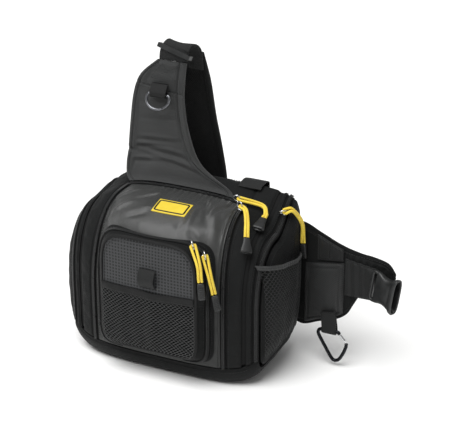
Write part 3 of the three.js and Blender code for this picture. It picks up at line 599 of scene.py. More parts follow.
def coil(name, path, normals, **ties):
    """Two rows of rounded teeth, set half a pitch apart along the path."""
    at, axes = even(path, normals, COIL_PITCH / 2)
    shift = np.where(np.arange(len(at)) % 2 == 0, COIL_OFF_CENTRE, -COIL_OFF_CENTRE)
    tooth = BOX * np.array(COIL_TOOTH) * np.where(BOX[:, 2:] > 0, (0.6, 0.8, 1), 1)
    points, faces = scatter(tooth, [BOX_FACES], at + shift[:, None] * axes[:, 1], axes)
    return new_piece(name, points, faces, coil_plastic, slot="coil", **ties)


def shell_line(x, turn, lift=0.0, surface=body_point):
    """A line drawn on the shell, raised by lift along its normals, and those normals."""
    x, turn = np.broadcast_arrays(np.asarray(x, float), np.asarray(turn, float))
    normal = shell_normal(x, turn, surface)
    return surface(x, turn) + lift * normal, normal


side_turns = np.linspace(*front_turns, 120)
ring_turns = np.linspace(*gusset_turns, 140)
coil("head_zip_coil", *shell_line(np.linspace(-78, 78, 80), (HEAD + ZIP_BACK) / 2, COIL_LIFT))
for side, label in ((-1, "left"), (1, "right")):
    middle = side * (panel_half(side_turns) + ZIP_WIDTH / 2)
    coil(f"main_zip_{label}_coil", *shell_line(middle, side_turns, COIL_LIFT))
    coil(f"rear_zip_{label}_coil", *shell_line(side * REAR_ZIP_AT, ring_turns, COIL_LIFT))

# Top-stitching of the shell. Bonded black thread, a little glossy, holds each seam a few millimetres from
# its edge, in stitches that dip into the cloth at their ends.
STITCH_PITCH = 3.4
STITCH_SIZE = (1.35, 0.34, 0.3)
STITCH = np.array([(-1, 0, -0.8), (-0.55, -1, 0), (-0.55, 0, -1), (-0.55, 1, 0), (-0.55, 0, 1),
                   (0.55, -1, 0), (0.55, 0, -1), (0.55, 1, 0), (0.55, 0, 1), (1, 0, -0.8)])
STITCH_ENDS = np.array([(0, 2, 1), (0, 3, 2), (0, 4, 3), (0, 1, 4),
                        (9, 5, 6), (9, 6, 7), (9, 7, 8), (9, 8, 5)])
STITCH_SIDES = np.array([(1, 2, 6, 5), (2, 3, 7, 6), (3, 4, 8, 7), (4, 1, 5, 8)])
SEAM_SET_IN = 3.2


def stitching(name, rows, slot="nylon"):
    """Rows of sewn stitches, each a short spindle that dips in at its ends."""
    frames = [even(path, normals, STITCH_PITCH) for path, normals in rows]
    at, axes = (np.concatenate([f[k] for f in frames]) for k in (0, 1))
    points, faces = scatter(STITCH * np.array(STITCH_SIZE), [STITCH_ENDS, STITCH_SIDES], at, axes)
    return new_piece(name, points, faces, black_thread, slot=slot)


across_base = np.linspace(-118, 118, 120)
shell_rows = [
    shell_line(np.linspace(-72, 72, 80), HEAD + 2.4, 0.3),
    shell_line(across_base, TRAY + 2.6, 0.3),
    shell_line(np.linspace(-80, 80, 80), RIDGE + 3.0, 0.3),
    shell_line(across_base, RIDGE - 3.0, 0.5),
    shell_line(across_base, 360 + BACK_FOOT - 2.6, 0.3),
]
for side in (-1, 1):
    shell_rows += [
        shell_line(side * (panel_half(side_turns) - SEAM_SET_IN), side_turns, 0.4, crown_point),
        shell_line(side * (panel_half(side_turns) + ZIP_WIDTH + SEAM_SET_IN), side_turns, 0.3),
        shell_line(side * 121.0, ring_turns, 0.2),
        shell_line(side * (134.0 if side < 0 else 137.0), ring_turns, 0.3),
    ]
stitching("shell_stitching", shell_rows)

# The front pocket. A stiffened face of grid ripstop stands off on a soft gusset of matt nylon, with a zip
# round the gusset and a binding tape sewn over the edge of the face.
FACE_HALF, FOOT_HALF = 63.0, 80.0
FACE_TALL, FOOT_TALL, FOOT_HEAD = 74.5, 86.0, 77.0
POCKET_MIDDLE = 117.5
FACE_Y = -92.5
FACE_BOW = 2.5
FACE_THICK, GUSSET_THICK = 1.8, 1.5
RIPSTOP_SQUARE = 4.2
HEM_FOOT, HEM_HEAD = 117.5, 127.5
POCKET_ZIP = 0.63
FORWARD = np.array([0.0, -1.0, 0.0])


def front_depth(x, z):
    """y of the shell's front at x and height z, from its superellipse, with the crown's swell."""
    up = z - AXIS_HEIGHT
    power = section_power(x, False, up > 0)
    left = np.maximum(1 - np.abs(up / section_tall(x, 0, up > 0)) ** power, 0)
    return -section_reach(x, False) * left ** (1 / power) - swell(x, z)


def pocket_face_y(x, z):
    """The face is bowed forward by a product of two parabolas."""
    across = np.minimum((x / FACE_HALF) ** 2, 1)
    up = np.minimum(((z - POCKET_MIDDLE) / FACE_TALL) ** 2, 1)
    return FACE_Y - FACE_BOW * (1 - across) * (1 - up)


def pocket_point(turn, slope):
    """turn runs round the pocket from its right side; slope is 0 at the edge of the face, 1 at the foot of
    the gusset on the front panel, and -1 at the middle of the face. Its outline is a superellipse."""
    turn, slope = np.broadcast_arrays(np.asarray(turn, float), np.asarray(slope, float))
    c, s = np.cos(np.radians(turn)), np.sin(np.radians(turn))
    power = np.where(s > 0, 5.0, 10.0)
    r = (np.abs(c) ** power + np.abs(s) ** power) ** (-1 / power)
    out, inward = np.maximum(slope, 0), 1 + np.minimum(slope, 0)
    x = mix(FACE_HALF, FOOT_HALF, out) * r * c * inward
    z = POCKET_MIDDLE + mix(FACE_TALL, np.where(s > 0, FOOT_HEAD, FOOT_TALL), out) * r * s * inward
    return xyz(x, mix(pocket_face_y(x, z), front_depth(x, z) - 1.7, out), z)


def pocket_normal(turn, slope):
    """Outward normal of the pocket: away from a point behind its middle."""
    away = pocket_point(turn, slope) - np.array([0, -40, POCKET_MIDDLE])
    return normal_of(pocket_point, turn, slope, away, 0.004)


def grid_ripstop(name, ground, square, rib):
    """Dark squares of fine weave between raised ribs of thicker thread: two waves cut to bands, the higher
    of them the rib."""
    material, tree, shader = new_material(name)
    at = put(tree, "ShaderNodeTexCoord").outputs["Object"]
    coarse, close = wave_scale(RIPSTOP_SQUARE), wave_scale(RIPSTOP_SQUARE / 4)
    bands, fine = [], []
    for way in ("X", "Z"):
        band = put(tree, "ShaderNodeTexWave", {"Vector": at, "Scale": coarse}, bands_direction=way)
        bands.append(put(tree, "ShaderNodeMapRange",
                         {"Value": band.outputs["Fac"], "From Min": 0.5, "From Max": 0.85}))
        fine.append(put(tree, "ShaderNodeTexWave", {"Vector": at, "Scale": close}, bands_direction=way))
    ribs = put(tree, "ShaderNodeMath", {0: bands[0].outputs[0], 1: bands[1].outputs[0]},
               operation="MAXIMUM")
    weave = put(tree, "ShaderNodeMath", {0: fine[0].outputs["Fac"], 1: fine[1].outputs["Fac"]},
                operation="MULTIPLY")
    patches = put(tree, "ShaderNodeTexNoise", {"Vector": at, "Scale": 1 / (16 * MM), "Detail": 4.0})
    shade = put(tree, "ShaderNodeMath", {0: weave.outputs[0], 1: 0.35, 2: patches.outputs["Fac"]},
                operation="MULTIPLY_ADD")
    squares = put(tree, "ShaderNodeMix", {0: shade.outputs[0], 6: linear(ground), 7: linear(square)},
                  data_type="RGBA")
    tone = put(tree, "ShaderNodeMix", {0: ribs.outputs[0], 6: squares.outputs[2], 7: linear(rib)},
               data_type="RGBA")
    high = put(tree, "ShaderNodeMath", {0: weave.outputs[0], 1: 0.3, 2: ribs.outputs[0]},
               operation="MULTIPLY_ADD")
    bump = put(tree, "ShaderNodeBump", {"Height": high.outputs[0], "Distance": 0.3 * MM, "Strength": 0.8})
    fill(tree, shader, {"Base Color": tone.outputs[2], "Normal": bump.outputs["Normal"], "Roughness": 0.55,
                        "Specular IOR Level": 0.35, "Sheen Weight": 0.08})
    return material


ripstop = grid_ripstop("grid_ripstop_nylon", "#090A0A", "#131414", "#37383A")
webbing_weave = woven_cloth("ribbed_webbing", "#0C0D0D", "#191A1A", 1.25, 0.9, 0.6, 0.3, 0.05)
bound_edge = woven_cloth("binding_tape", "#070707", "#0F1010", 0.9, 0.5, 0.6, 0.3, 0.02)

turn = np.linspace(0, 360, 260, endpoint=False)[:, None]
slope = np.linspace(0.02, -0.995, 60)[None, :]
base = pocket_point(turn, slope)
inset = -np.minimum(slope, 0) * FACE_HALF
ribs = np.maximum(*(np.sin(np.pi * base[..., k] / RIPSTOP_SQUARE) ** 2 for k in (0, 2)))
height = 0.3 - 0.9 * bell(inset, 2.5) + 0.2 * ribs + 0.5 * noise(base, 30, 61)
height = mix(-0.6, height, rise(HEM_FOOT, HEM_HEAD, base[..., 2]))
wall("pocket_face_cloth", base + FORWARD * height[..., None], base - FACE_THICK * FORWARD, ripstop, ring=True,
     tip=True, slot="ripstop", replaced=["pocket_face"])

share = np.linspace(0, 1, 34)[None, :]
gusset_head = mix(0.06, 0.18, np.maximum(np.sin(np.radians(turn)), 0) ** 2)
slope = mix(gusset_head, 0.97, share)
base = pocket_point(turn, slope)
normal = pocket_normal(turn, slope)
foot = np.minimum(share, 1 - share) * 22
slack = 0.6 * noise(base, 15, 63) + 0.35 * noise(base, 7, 65)
height = 0.5 * (1 - np.exp(-foot / 4)) + slack * rise(0, 6, foot)
outer = base + normal * height[..., None]
wall("pocket_gusset_cloth", outer, outer - GUSSET_THICK * normal, matt_nylon, ring=True, slot="nylon",
     replaced=["pocket_gusset"])

turn = np.linspace(-60, 240, 220)
slope = np.linspace(POCKET_ZIP - 0.13, POCKET_ZIP + 0.13, 7)[None, :]
base, normal = pocket_point(turn[:, None], slope), pocket_normal(turn[:, None], slope)
wall("pocket_zip_tape", base + 1.5 * normal, base + 0.6 * normal, tape_weave, slot="coil",
     replaced=["pocket_zip"])
zip_out = pocket_normal(turn, POCKET_ZIP)
coil("pocket_zip_coil", pocket_point(turn, POCKET_ZIP) + 2.0 * zip_out, zip_out)


def tube_faces(sides, stations, closed=False):
    """Faces of a tube whose points are numbered station by station within each side; open ends are capped."""
    i, j = np.arange(sides)[:, None], np.arange(stations if closed else stations - 1)[None, :]
    near, far, ahead = i * stations, (i + 1) % sides * stations, (j + 1) % stations
    quads = np.stack([near + j, far + j, far + ahead, near + ahead], -1)
    ends = np.arange(sides) * stations
    caps = [] if closed else [ends[None, :], ends[None, ::-1] + stations - 1]
    return [quads.reshape(-1, 4), *caps]


def sweep(name, at, side, up, section, material, closed=False, **ties):
    """A section of (a, b) points, one for all stations or one for each, carried along a path: each of its
    points lands at + a * side + b * up."""
    at, side, up = np.broadcast_arrays(at, side, up)
    section = np.broadcast_to(section, (len(at), *np.shape(section)[-2:]))
    points = at[:, None] + section[..., :1] * side[:, None] + section[..., 1:] * up[:, None]
    points = points.transpose(1, 0, 2)
    uv = np.stack([run(points, 1), run(points, 0)], -1)
    return new_piece(name, points, tube_faces(points.shape[0], len(at), closed), material, uv, **ties)


def signed(x, power):
    """|x|^power with the sign of x."""
    return np.sign(x) * np.abs(x) ** power


def oval(width, thick, count=24, square=2.0):
    """A superellipse of that width and thickness; square 2 is an ellipse, and more is squarer."""
    t = np.linspace(0, 2 * np.pi, count, endpoint=False)
    x, y = signed(np.cos(t), 2 / square), signed(np.sin(t), 2 / square)
    return np.stack([width / 2 * x, thick / 2 * y], -1)


def lap_along(path):
    """Unit directions along a closed path, from each point's two neighbours."""
    return unit(np.roll(path, -1, 0) - np.roll(path, 1, 0))


turn = np.linspace(0, 360, 260, endpoint=False)
edge_path = pocket_point(turn, 0.035)
edge_out = unit(pocket_normal(turn, 0.12) + 1.2 * FORWARD)
sweep("pocket_binding", edge_path + 0.4 * edge_out, unit(np.cross(lap_along(edge_path), edge_out)), edge_out,
      oval(4.0, 2.4, 16, 2.6), bound_edge, closed=True, slot="webbing")

# The net on the pocket's lower half is a second pocket, knitted from glossy black thread over dark cloth and
# held along its top by a rolled hem tape. Its cells are drawn a little coarser than real, so as to show. The
# dark cloth behind it is a lining whose near-black tone also paints the shade inside the net pocket.
NET_HEAD = 121.0
NET_SIDE = FACE_HALF - 0.5
NET_BOTTOM = POCKET_MIDDLE - FACE_TALL + 1.5
NET_PITCH, NET_STRAND = 2.8, 0.58
STRAND_SIDES = 5
HEM_STAND = 1.9
lining_and_painted_shade = woven_cloth("black_lining_and_painted_shade", "#040404", "#090909", 0.9, 0.4, 0.8, 0.1, 0.0)
net_thread = moulded_plastic("knitted_net_thread", "#333434", "#575858", 0.45, 0.5)


def pocket_net(a, b):
    """The net lies on the lower half of the face, held at its edges; it stands further off in the middle and
    hangs in shallow upright folds, a sum of two sines."""
    z = mix(NET_BOTTOM, NET_HEAD, b)
    narrow = np.maximum(1 - np.abs((z - POCKET_MIDDLE) / (FACE_TALL + 0.5)) ** 10, 0.02) ** 0.1
    x = (2 * a - 1) * NET_SIDE * narrow
    hold = np.sin(np.pi * np.clip(a, 0, 1)) * np.sin(np.pi * np.clip(b, 0, 1)) ** 0.6
    folds = 0.9 * np.sin(x / 7.5 + 0.6) + 0.5 * np.sin(x / 3.4)
    return xyz(x, pocket_face_y(x, z) - 1.3 - (1.8 + folds) * hold, z)


def net(name, surface, wide, tall, away, pitch, strand, material, **ties):
    """A knitted net: each strand runs up the surface and steps from side to side, a wave clipped flat at
    half the pitch; its neighbours step the other way, so they touch in turn and leave hexagons."""
    columns = int(wide / pitch)
    stations = int(tall / pitch * 6)
    k, b = np.arange(columns + 1)[:, None], np.linspace(0, 1, stations)[None, :]
    step = np.clip(1.5 * np.sin(2 * np.pi * b * tall / (1.8 * pitch)), -1, 1)
    a = np.clip((k + step * np.where(k % 2 == 0, 0.46, -0.46)) / columns, 0, 1)
    b = b + 0 * a
    at = surface(a, b)
    normal = normal_of(surface, np.clip(a, 0.02, 0.98), np.clip(b, 0.02, 0.98), at - away, 0.01)
    along = unit(np.gradient(at, axis=1))
    side = unit(np.cross(along, normal))
    t = np.linspace(0, 2 * np.pi, STRAND_SIDES, endpoint=False)[:, None, None, None]
    points = at + strand / 2 * (np.cos(t) * side + np.sin(t) * np.cross(side, along))
    start = (np.arange(columns + 1) * STRAND_SIDES * stations)[:, None, None]
    faces = [(f[None] + start).reshape(-1, f.shape[1]) for f in tube_faces(STRAND_SIDES, stations)]
    return new_piece(name, points.transpose(1, 0, 2, 3), faces, material, **ties)


def hem_droop(x):
    """How far the hem sags below its ends at x: a parabola with a slow wave in it."""
    return 1.6 * (1 - (x / NET_SIDE) ** 2) * (1 + 0.4 * np.sin(x / 11))


def hem_ripple(x):
    """How the hem's front stands out and in along its length: two sines."""
    return 0.3 * np.sin(x / 3.1) + 0.5 * np.sin(x / 8 + 1)


net("pocket_net_strands", pocket_net, 2 * NET_SIDE, NET_HEAD - NET_BOTTOM, np.array([0, 200, POCKET_MIDDLE]),
    NET_PITCH, NET_STRAND, net_thread, slot="net", replaced=["pocket_mesh"])
a, b = np.meshgrid(np.linspace(0, 1, 60), np.linspace(0, 1, 40), indexing="ij")
# A lining sheet just behind the net; its near-black tone is partly painted shade.
backing = pocket_net(a, b) - 0.9 * FORWARD
wall("pocket_net_backing", backing, backing - 0.35 * FORWARD, lining_and_painted_shade, slot="net")

x = np.linspace(-NET_SIDE, NET_SIDE, 120)[:, None]
share = np.linspace(0, 1, 11)[None, :]
z = mix(HEM_FOOT, HEM_HEAD, share) - hem_droop(x)
roll = np.sqrt(np.maximum(1 - (1.95 * (share - 0.5)) ** 2, 0))
front = xyz(x, pocket_face_y(x, z) - HEM_STAND - (1.5 + hem_ripple(x)) * roll, z)
wall("pocket_hem_tape", front, front - FORWARD * (0.8 + 0.7 * roll[..., None]), bound_edge, slot="webbing",
     replaced=["pocket_hem"])

# A loop of ribbed webbing is sewn to the face above the hem by its two ends and stands off in an arch. Rows
# of black thread hold it, the hem and both edges of the gusset.
TAB_X, TAB_Z, TAB_WIDE, TAB_HALF, TAB_STAND = 1.5, 143.5, 22.0, 11.5, 6.5
TAB_THICK = 1.4
RIGHTWARD = np.array([1.0, 0.0, 0.0])


def path_along(path):
    """Unit directions along an open path."""
    return unit(np.gradient(path, axis=0))


t = np.linspace(-1, 1, 60)
z = TAB_Z + TAB_HALF * t
stand = TAB_STAND * np.maximum(np.cos(np.pi / 2 * t), 0) ** 0.7
arch = xyz(TAB_X, pocket_face_y(TAB_X, z) - 0.75 - stand, z)
sweep("pocket_tab_webbing", arch, RIGHTWARD, unit(np.cross(path_along(arch), RIGHTWARD)),
      oval(TAB_WIDE, TAB_THICK, 40, 7), webbing_weave, slot="webbing", replaced=["pocket_tab"])
turn = np.linspace(0, 360, 260)
hem_x = np.linspace(-NET_SIDE + 2, NET_SIDE - 2, 60)
hem_z = HEM_FOOT + 3 - hem_droop(hem_x)
hem_y = pocket_face_y(hem_x, hem_z) - HEM_STAND - 1.5 - hem_ripple(hem_x)
pocket_rows = [
    (xyz(hem_x, hem_y, hem_z), np.tile(FORWARD, (60, 1))),
    (pocket_point(turn, -0.055) + 0.7 * FORWARD, np.tile(FORWARD, (260, 1))),
]
for end in (-1, 1):
    sewn = np.linspace(TAB_X - TAB_WIDE / 2 + 1, TAB_X + TAB_WIDE / 2 - 1, 30)
    high = TAB_Z + end * (TAB_HALF + 1.6)
    pocket_rows.append((xyz(sewn, pocket_face_y(sewn, high) - 0.6, high), np.tile(FORWARD, (30, 1))))
for place in (0.44, 0.82):
    out = pocket_normal(turn, place)
    pocket_rows.append((pocket_point(turn, place) + 0.8 * out, out))
stitching("pocket_stitching", pocket_rows)

# The label on the crown is a moulded rubber patch, lemon yellow with a black keyline let in a little inside
# its edge, glued and sewn on. It is left bare.
LABEL_FOOT, LABEL_FACE = 0.9, 2.1
KEYLINE_HALF_X, KEYLINE_HALF_TURN, KEYLINE_SHIFT, KEYLINE_SQUARE = 19.6, 4.6, 0.5, 0.14
label_rubber = moulded_plastic("lemon_yellow_rubber", "#D3B62A", "#E7CE48", 0.5)
keyline_rubber = moulded_plastic("black_rubber_keyline", "#0B0B0B", "#161616", 0.5)
turn = np.linspace(LABEL_LOW, LABEL_HIGH, 34)[:, None]
x = np.linspace(LABEL_LEFT, LABEL_RIGHT, 48)[None, :]
base, normal = shell_line(x, turn, 0, crown_point)
edge = to_edge(run(base, 0), run(base, 1))
face = base + normal * (LABEL_FACE - 0.7 * bell(edge, 0.7))[..., None]
wall("label_rubber", face, base + LABEL_FOOT * normal, label_rubber, slot="patch", replaced=["label_patch"])
corner = np.linspace(0, 2 * np.pi, 160, endpoint=False)
key_x = (LABEL_LEFT + LABEL_RIGHT) / 2 + KEYLINE_HALF_X * signed(np.cos(corner), KEYLINE_SQUARE)
key_turn = (LABEL_LOW + LABEL_HIGH) / 2 + KEYLINE_SHIFT
key_turn = key_turn - KEYLINE_HALF_TURN * signed(np.sin(corner), KEYLINE_SQUARE)
key_path, key_up = shell_line(key_x, key_turn, LABEL_FACE, crown_point)
sweep("label_keyline", key_path, unit(np.cross(lap_along(key_path), key_up)), key_up, oval(2.3, 0.7, 10),
      keyline_rubber, closed=True, slot="patch")

# The net pocket on the right end hangs slack from an elastic hem, and its other edges are caught in the
# seams. It is knitted like the front one, from a duller thread, with larger cells.
NET_FRONT, NET_BACK, NET_FOOT, NET_BELLY, NET_TOP = -47.0, 45.0, 42.0, 9.0, 149.0
SIDE_SPAN, SIDE_PITCH, SIDE_STRAND = 128, 3.3, 0.62
SIDE_HEM = 6.0
side_thread = moulded_plastic("knitted_side_net_thread", "#1B1C1C", "#343535", 0.45, 0.4)
elastic = woven_cloth("elastic_hem_tape", "#1C1D1D", "#333434", 1.0, 0.7, 0.5, 0.5, 0.15)


def end_reach(y, z):
    """x of the shell's right end at y and z, halving the range 40 times."""
    low, high = np.zeros_like(y + z), np.full_like(y + z, HALF_WIDTH)
    above = z > AXIS_HEIGHT
    for _ in range(40):
        x = (low + high) / 2
        deep = section_reach(x, y > 0)
        tall = section_tall(x, rise(0, 1, y / deep), above)
        power = section_power(x, y > 0, above)
        inside = np.abs(y / deep) ** power + np.abs((z - AXIS_HEIGHT) / tall) ** power < 1
        low, high = np.where(inside, x, low), np.where(inside, high, x)
    return squeeze_end(low)


def side_net(low, high, stand):
    """The pocket's surface between two heights: the shell's end, bellied out most along the hem, which
    slopes back, and again above the foot, where the slack of the net gathers."""
    def surface(a, b):
        """The point a of the way from front to back and b of the way between the heights."""
        y = mix(NET_FRONT, NET_BACK, a)
        level = mix(low, high, b)
        z = level - 0.2 * y * rise(NET_FOOT, NET_TOP, level)
        bow = np.sin(np.pi * np.clip(a, 0, 1)) ** 0.7
        slack = 3.0 * bell(z - 62, 16) * bow + 0.8 * np.sin(y / 5.0) * bow
        belly = NET_BELLY * bow * rise(NET_FOOT - 8, 120, z)
        return xyz(end_reach(y, z) + belly + stand + slack, y, z)
    return surface


net("side_net_strands", side_net(NET_FOOT, NET_TOP, 2.2), SIDE_SPAN, NET_TOP - NET_FOOT,
    np.array([0, 0, AXIS_HEIGHT]), SIDE_PITCH, SIDE_STRAND, side_thread, slot="net", replaced=["side_net"])
a, b = np.meshgrid(np.linspace(0, 1, 100), np.linspace(0, 1, 9), indexing="ij")
hem_surface = side_net(NET_TOP + SEAM, NET_TOP + SIDE_HEM, 2.0)
hem = hem_surface(a, b)
hem_out = normal_of(hem_surface, np.clip(a, 0.02, 0.98), b, hem - np.array([0, 0, AXIS_HEIGHT]), 0.01)
puff = np.sqrt(np.maximum(1 - ((b - 0.5) * 1.95) ** 2, 0)) * (1 + 0.18 * np.sin(a * 120))
puff = puff[..., None]
wall("side_net_hem_tape", hem + hem_out * (0.2 + puff), hem - hem_out * (0.2 + 0.6 * puff), elastic,
     slot="webbing", replaced=["side_net_hem"])
stitching("side_net_stitching", [(hem[:, 4] + 1.3 * hem_out[:, 4], hem_out[:, 4])])

# The shoulder strap's front half: a foam pad with a band sewn round its thickness. It rises from the head of
# the bag and narrows to the webbing. A seam crosses it above the ring, and it wrinkles where it bends.
FRONT_ROWS = np.array([
    # left, right, y, z, sink, thick
    (-80, 66, 14, 220, 1, 3),
    (-87, 57, 20, 225, 0.7, 7),
    (-89, 30, 25, 236, 0.2, 12),
    (-88, 9, 29, 252, 0, 12),
    (-87, -6, 34, 285, 0, 12),
    (-85, -15, 41, 322, 0, 12),
    (-77, -16, 46, 347, 0, 12),
    (-55, -15, 50, 368, 0, 6),
])
COVER_GAP = 0.6
STRAP_FILL, STRAP_BLOW = 0.7, 3.0
CLOTH_FRAMES = 20
CLOTH_PRESSURE = 4.0


def between(rows, t):
    """A smooth row between the rows of a table: Catmull-Rom cubics, the end rows repeated, t from 0 to 1."""
    rows, t = np.asarray(rows, float), np.asarray(t, float)
    place = np.clip(t, 0, 1) * (len(rows) - 1)
    i = np.minimum(place.astype(int), len(rows) - 2)
    f = (place - i)[..., None]
    p, a, b, q = (rows[np.clip(i + k, 0, len(rows) - 1)] for k in (-1, 0, 1, 2))
    from_a, to_b = (b - p) / 2, (q - a) / 2
    return a + f * (from_a + f * ((2 * a - 2 * b + from_a + to_b) * f + 3 * b - 3 * a - 2 * from_a - to_b))


def strap_front(u, v):
    """x runs between the row's left and right; the foot follows the taper of the crown, by the row's sink."""
    row = between(FRONT_ROWS, u)
    x = mix(row[..., 0], row[..., 1], v)
    drop = row[..., 4] * (CROWN_TOP - AXIS_HEIGHT) * (1 - taper(x, 3, 3))
    return xyz(x, row[..., 2], row[..., 3] - drop)


def blown(points, faces, held, limit):
    """The points of a closed cover, in millimetres, after Blender's Cloth has blown it up a little with the
    held points pinned; no point goes further than limit from where it began."""
    flat = points.reshape(-1, 3)
    mesh = bpy.data.meshes.new("cover")
    mesh.from_pydata((flat * MM).tolist(), [], [q for f in faces for q in f.tolist()])
    cover = bpy.data.objects.new("cover", mesh)
    scene.collection.objects.link(cover)
    pins = cover.vertex_groups.new(name="held")
    pins.add(np.flatnonzero(held.reshape(-1)).tolist(), 1.0, "REPLACE")
    cloth = cover.modifiers.new("cloth", "CLOTH")
    cloth.settings.quality = 6
    cloth.settings.mass = 0.25
    cloth.settings.vertex_group_mass = "held"
    cloth.settings.use_pressure = True
    cloth.settings.uniform_pressure_force = CLOTH_PRESSURE
    cloth.settings.effector_weights.gravity = 0
    cloth.point_cache.frame_start = 1
    cloth.point_cache.frame_end = CLOTH_FRAMES
    for number in range(1, CLOTH_FRAMES + 1):
        scene.frame_set(number)
    done = cover.evaluated_get(bpy.context.evaluated_depsgraph_get()).to_mesh()
    moved = np.zeros(len(flat) * 3, np.float32)
    done.vertices.foreach_get("co", moved)
    scene.frame_set(1)
    bpy.data.objects.remove(cover)
    step = moved.reshape(-1, 3) / MM - flat
    far = np.linalg.norm(step, axis=-1, keepdims=True)
    return (flat + step * np.minimum(1, limit / np.maximum(far, 1e-9))).reshape(points.shape)


def pad(name, surface, thick, away, steps, material, relief, limit, filling, **ties):
    """A padded strap: at each station along u the section is a superellipse over the width v and the
    thickness, on the surface's normals. The cover is blown up, then relief(u, v, face, points) is added
    outwards."""
    around, stations = steps
    t = np.linspace(0, 2 * np.pi, around, endpoint=False)
    v = 0.5 + 0.5 * signed(np.cos(t), 2 / 4.5)
    uu, vv = np.meshgrid(np.linspace(0.001, 0.999, stations), v)
    face = signed(np.sin(t), 2 / 3.2)[:, None] + 0 * uu
    normal = normal_of(surface, uu, np.clip(vv, 0.02, 0.98), away, 0.001)
    points = surface(uu, vv) + normal * (face * thick(uu) / 2)[..., None]
    faces = tube_faces(around, stations)
    held = (np.abs(face) < 0.35) | (uu < 0.06) | (uu > 0.95)
    points = blown(points, faces, held, limit)
    outward = normal * signed(face, 0.5)[..., None]
    points = points + outward * relief(uu, vv, face, points)[..., None]
    uv = np.stack([run(points, 1), run(points, 0)], -1)
    made = new_piece(name, points, faces, material, uv, **ties)
    return made


def cross_seam(x):
    """Height of the seam across the strap, which falls a little to the right."""
    return 336 - 0.13 * (x + 72)


STRAP_WRINKLES = np.array([
    # x, z, lean, half-length, half-width, depth
    (-48, 268, 0.06, 26, 2.6, 1.5),
    (-36, 254, -0.10, 30, 2.8, 1.8),
    (-62, 259, 0.16, 22, 2.4, 1.4),
    (-40, 296, 0.10, 24, 3.0, 0.9),
    (-20, 242, -0.16, 34, 2.8, 1.6),
    (-64, 240, 0.10, 24, 2.6, 1.3),
    (-52, 312, -0.08, 24, 2.6, 0.8),
])


def strap_relief(u, v, face, points):
    """Sewn grooves inside both edges and across above the ring, a nick at the low left edge, soft wrinkles
    that run across, and slack between them."""
    row = between(FRONT_ROWS, u)
    wide = row[..., 1] - row[..., 0]
    x, z = points[..., 0], points[..., 2]
    left, right = v * wide, (1 - v) * wide
    edge = np.minimum(left, right)
    total = -1.5 * bell(left - 5, 1.0) - 2.2 * bell(right - 8.5, 1.3) - 1.5 * bell(z - cross_seam(x), 1.2)
    total = total - 3.0 * bell(z - 252, 2.6) * (1 - rise(6, 15, left))
    for fold_x, fold_z, lean, long, high, deep in STRAP_WRINKLES:
        aside = z - fold_z - lean * (x - fold_x)
        shape = bell(aside, high) - 0.7 * bell(aside - 2 * high, high)
        total = total - deep * shape * bell(x - fold_x, long) * rise(7, 16, edge)
    slack = 0.7 * noise(points, 24, 71) + 0.3 * noise(points, 8, 73)
    return (total + slack * rise(2, 12, edge)) * (face > 0)


def front_line(u, v, lift):
    """A line on the pad's front face and its normals."""
    u, v = np.broadcast_arrays(np.asarray(u, float), np.asarray(v, float))
    n = normal_of(strap_front, u, np.clip(v, 0.02, 0.98), FORWARD, 0.001)
    return strap_front(u, v) + n * (between(FRONT_ROWS, u)[..., 5:6] / 2 + lift), n


pad("strap_front_pad", strap_front, lambda u: between(FRONT_ROWS, u)[..., 5] - COVER_GAP, FORWARD, (140, 190),
    pad_nylon, strap_relief, STRAP_BLOW, STRAP_FILL, slot="padding", replaced=["strap_front"])
BOX_FOOT, BOX_HEAD, BOX_LEFT, BOX_RIGHT = 0.845, 0.965, 0.3, 0.85
u = np.linspace(0.12, 0.97, 160)
wide = between(FRONT_ROWS, u)[:, 1] - between(FRONT_ROWS, u)[:, 0]
v = np.linspace(0.06, 0.94, 60)
every_u = np.linspace(0, 1, 400)
seam_u = np.interp(cross_seam(mix(-80, -16, v)), between(FRONT_ROWS, every_u)[:, 3], every_u)
box_u = np.linspace(BOX_FOOT, BOX_HEAD, 40)
strap_rows = [
    front_line(u, 7.2 / wide, 0.5),
    front_line(u, 1 - 11.2 / wide, 0.5),
    front_line(seam_u + 0.012, v, 0.6),
    front_line(seam_u - 0.012, v, 0.6),
    front_line(box_u, BOX_LEFT, 0.6),
    front_line(box_u, BOX_RIGHT, 0.6),
    front_line(box_u, np.linspace(BOX_LEFT, BOX_RIGHT, 40), 0.6),
    front_line(box_u, np.linspace(BOX_RIGHT, BOX_LEFT, 40), 0.6),
    front_line(BOX_FOOT, np.linspace(BOX_LEFT, BOX_RIGHT, 60), 0.6),
]
stitching("strap_front_stitching", strap_rows, "padding")

# The back half of the strap comes down behind the bag, lined with mesh on the side that lies on the body, and
# is sewn to the foot of the back panel.
BACK_ROWS = np.array([
    # middle, half, y, z, thick
    (-25, 19, 79, 374, 6),
    (-24, 24, 85, 335, 12),
    (-21, 26, 89, 290, 12),
    (-14, 27, 91, 245, 12),
    (-7, 27, 90, 200, 12),
    (-3, 24, 87, 150, 12),
    (0, 20, 79, 95, 6),
    (0, 19, 66.9, 48, 3),
])


def strap_back(u, v):
    """x runs a half-width to each side of the row's middle."""
    row = between(BACK_ROWS, u)
    return xyz(row[..., 0] + row[..., 1] * (2 * v - 1), row[..., 2], row[..., 3])


def back_strap_relief(u, v, face, points):
    """Sewn grooves 6 mm inside each edge and slack between."""
    edge = np.minimum(v, 1 - v) * 2 * between(BACK_ROWS, u)[..., 1]
    slack = 0.7 * noise(points, 24, 81) + 0.25 * noise(points, 9, 83)
    return -1.2 * bell(edge - 6, 1.2) + slack * rise(2, 12, edge)


pad("strap_back_pad", strap_back, lambda u: between(BACK_ROWS, u)[..., 4] - COVER_GAP, -FORWARD, (96, 130),
    lining_mesh, back_strap_relief, STRAP_BLOW, STRAP_FILL, slot="padding", replaced=["strap_back"])

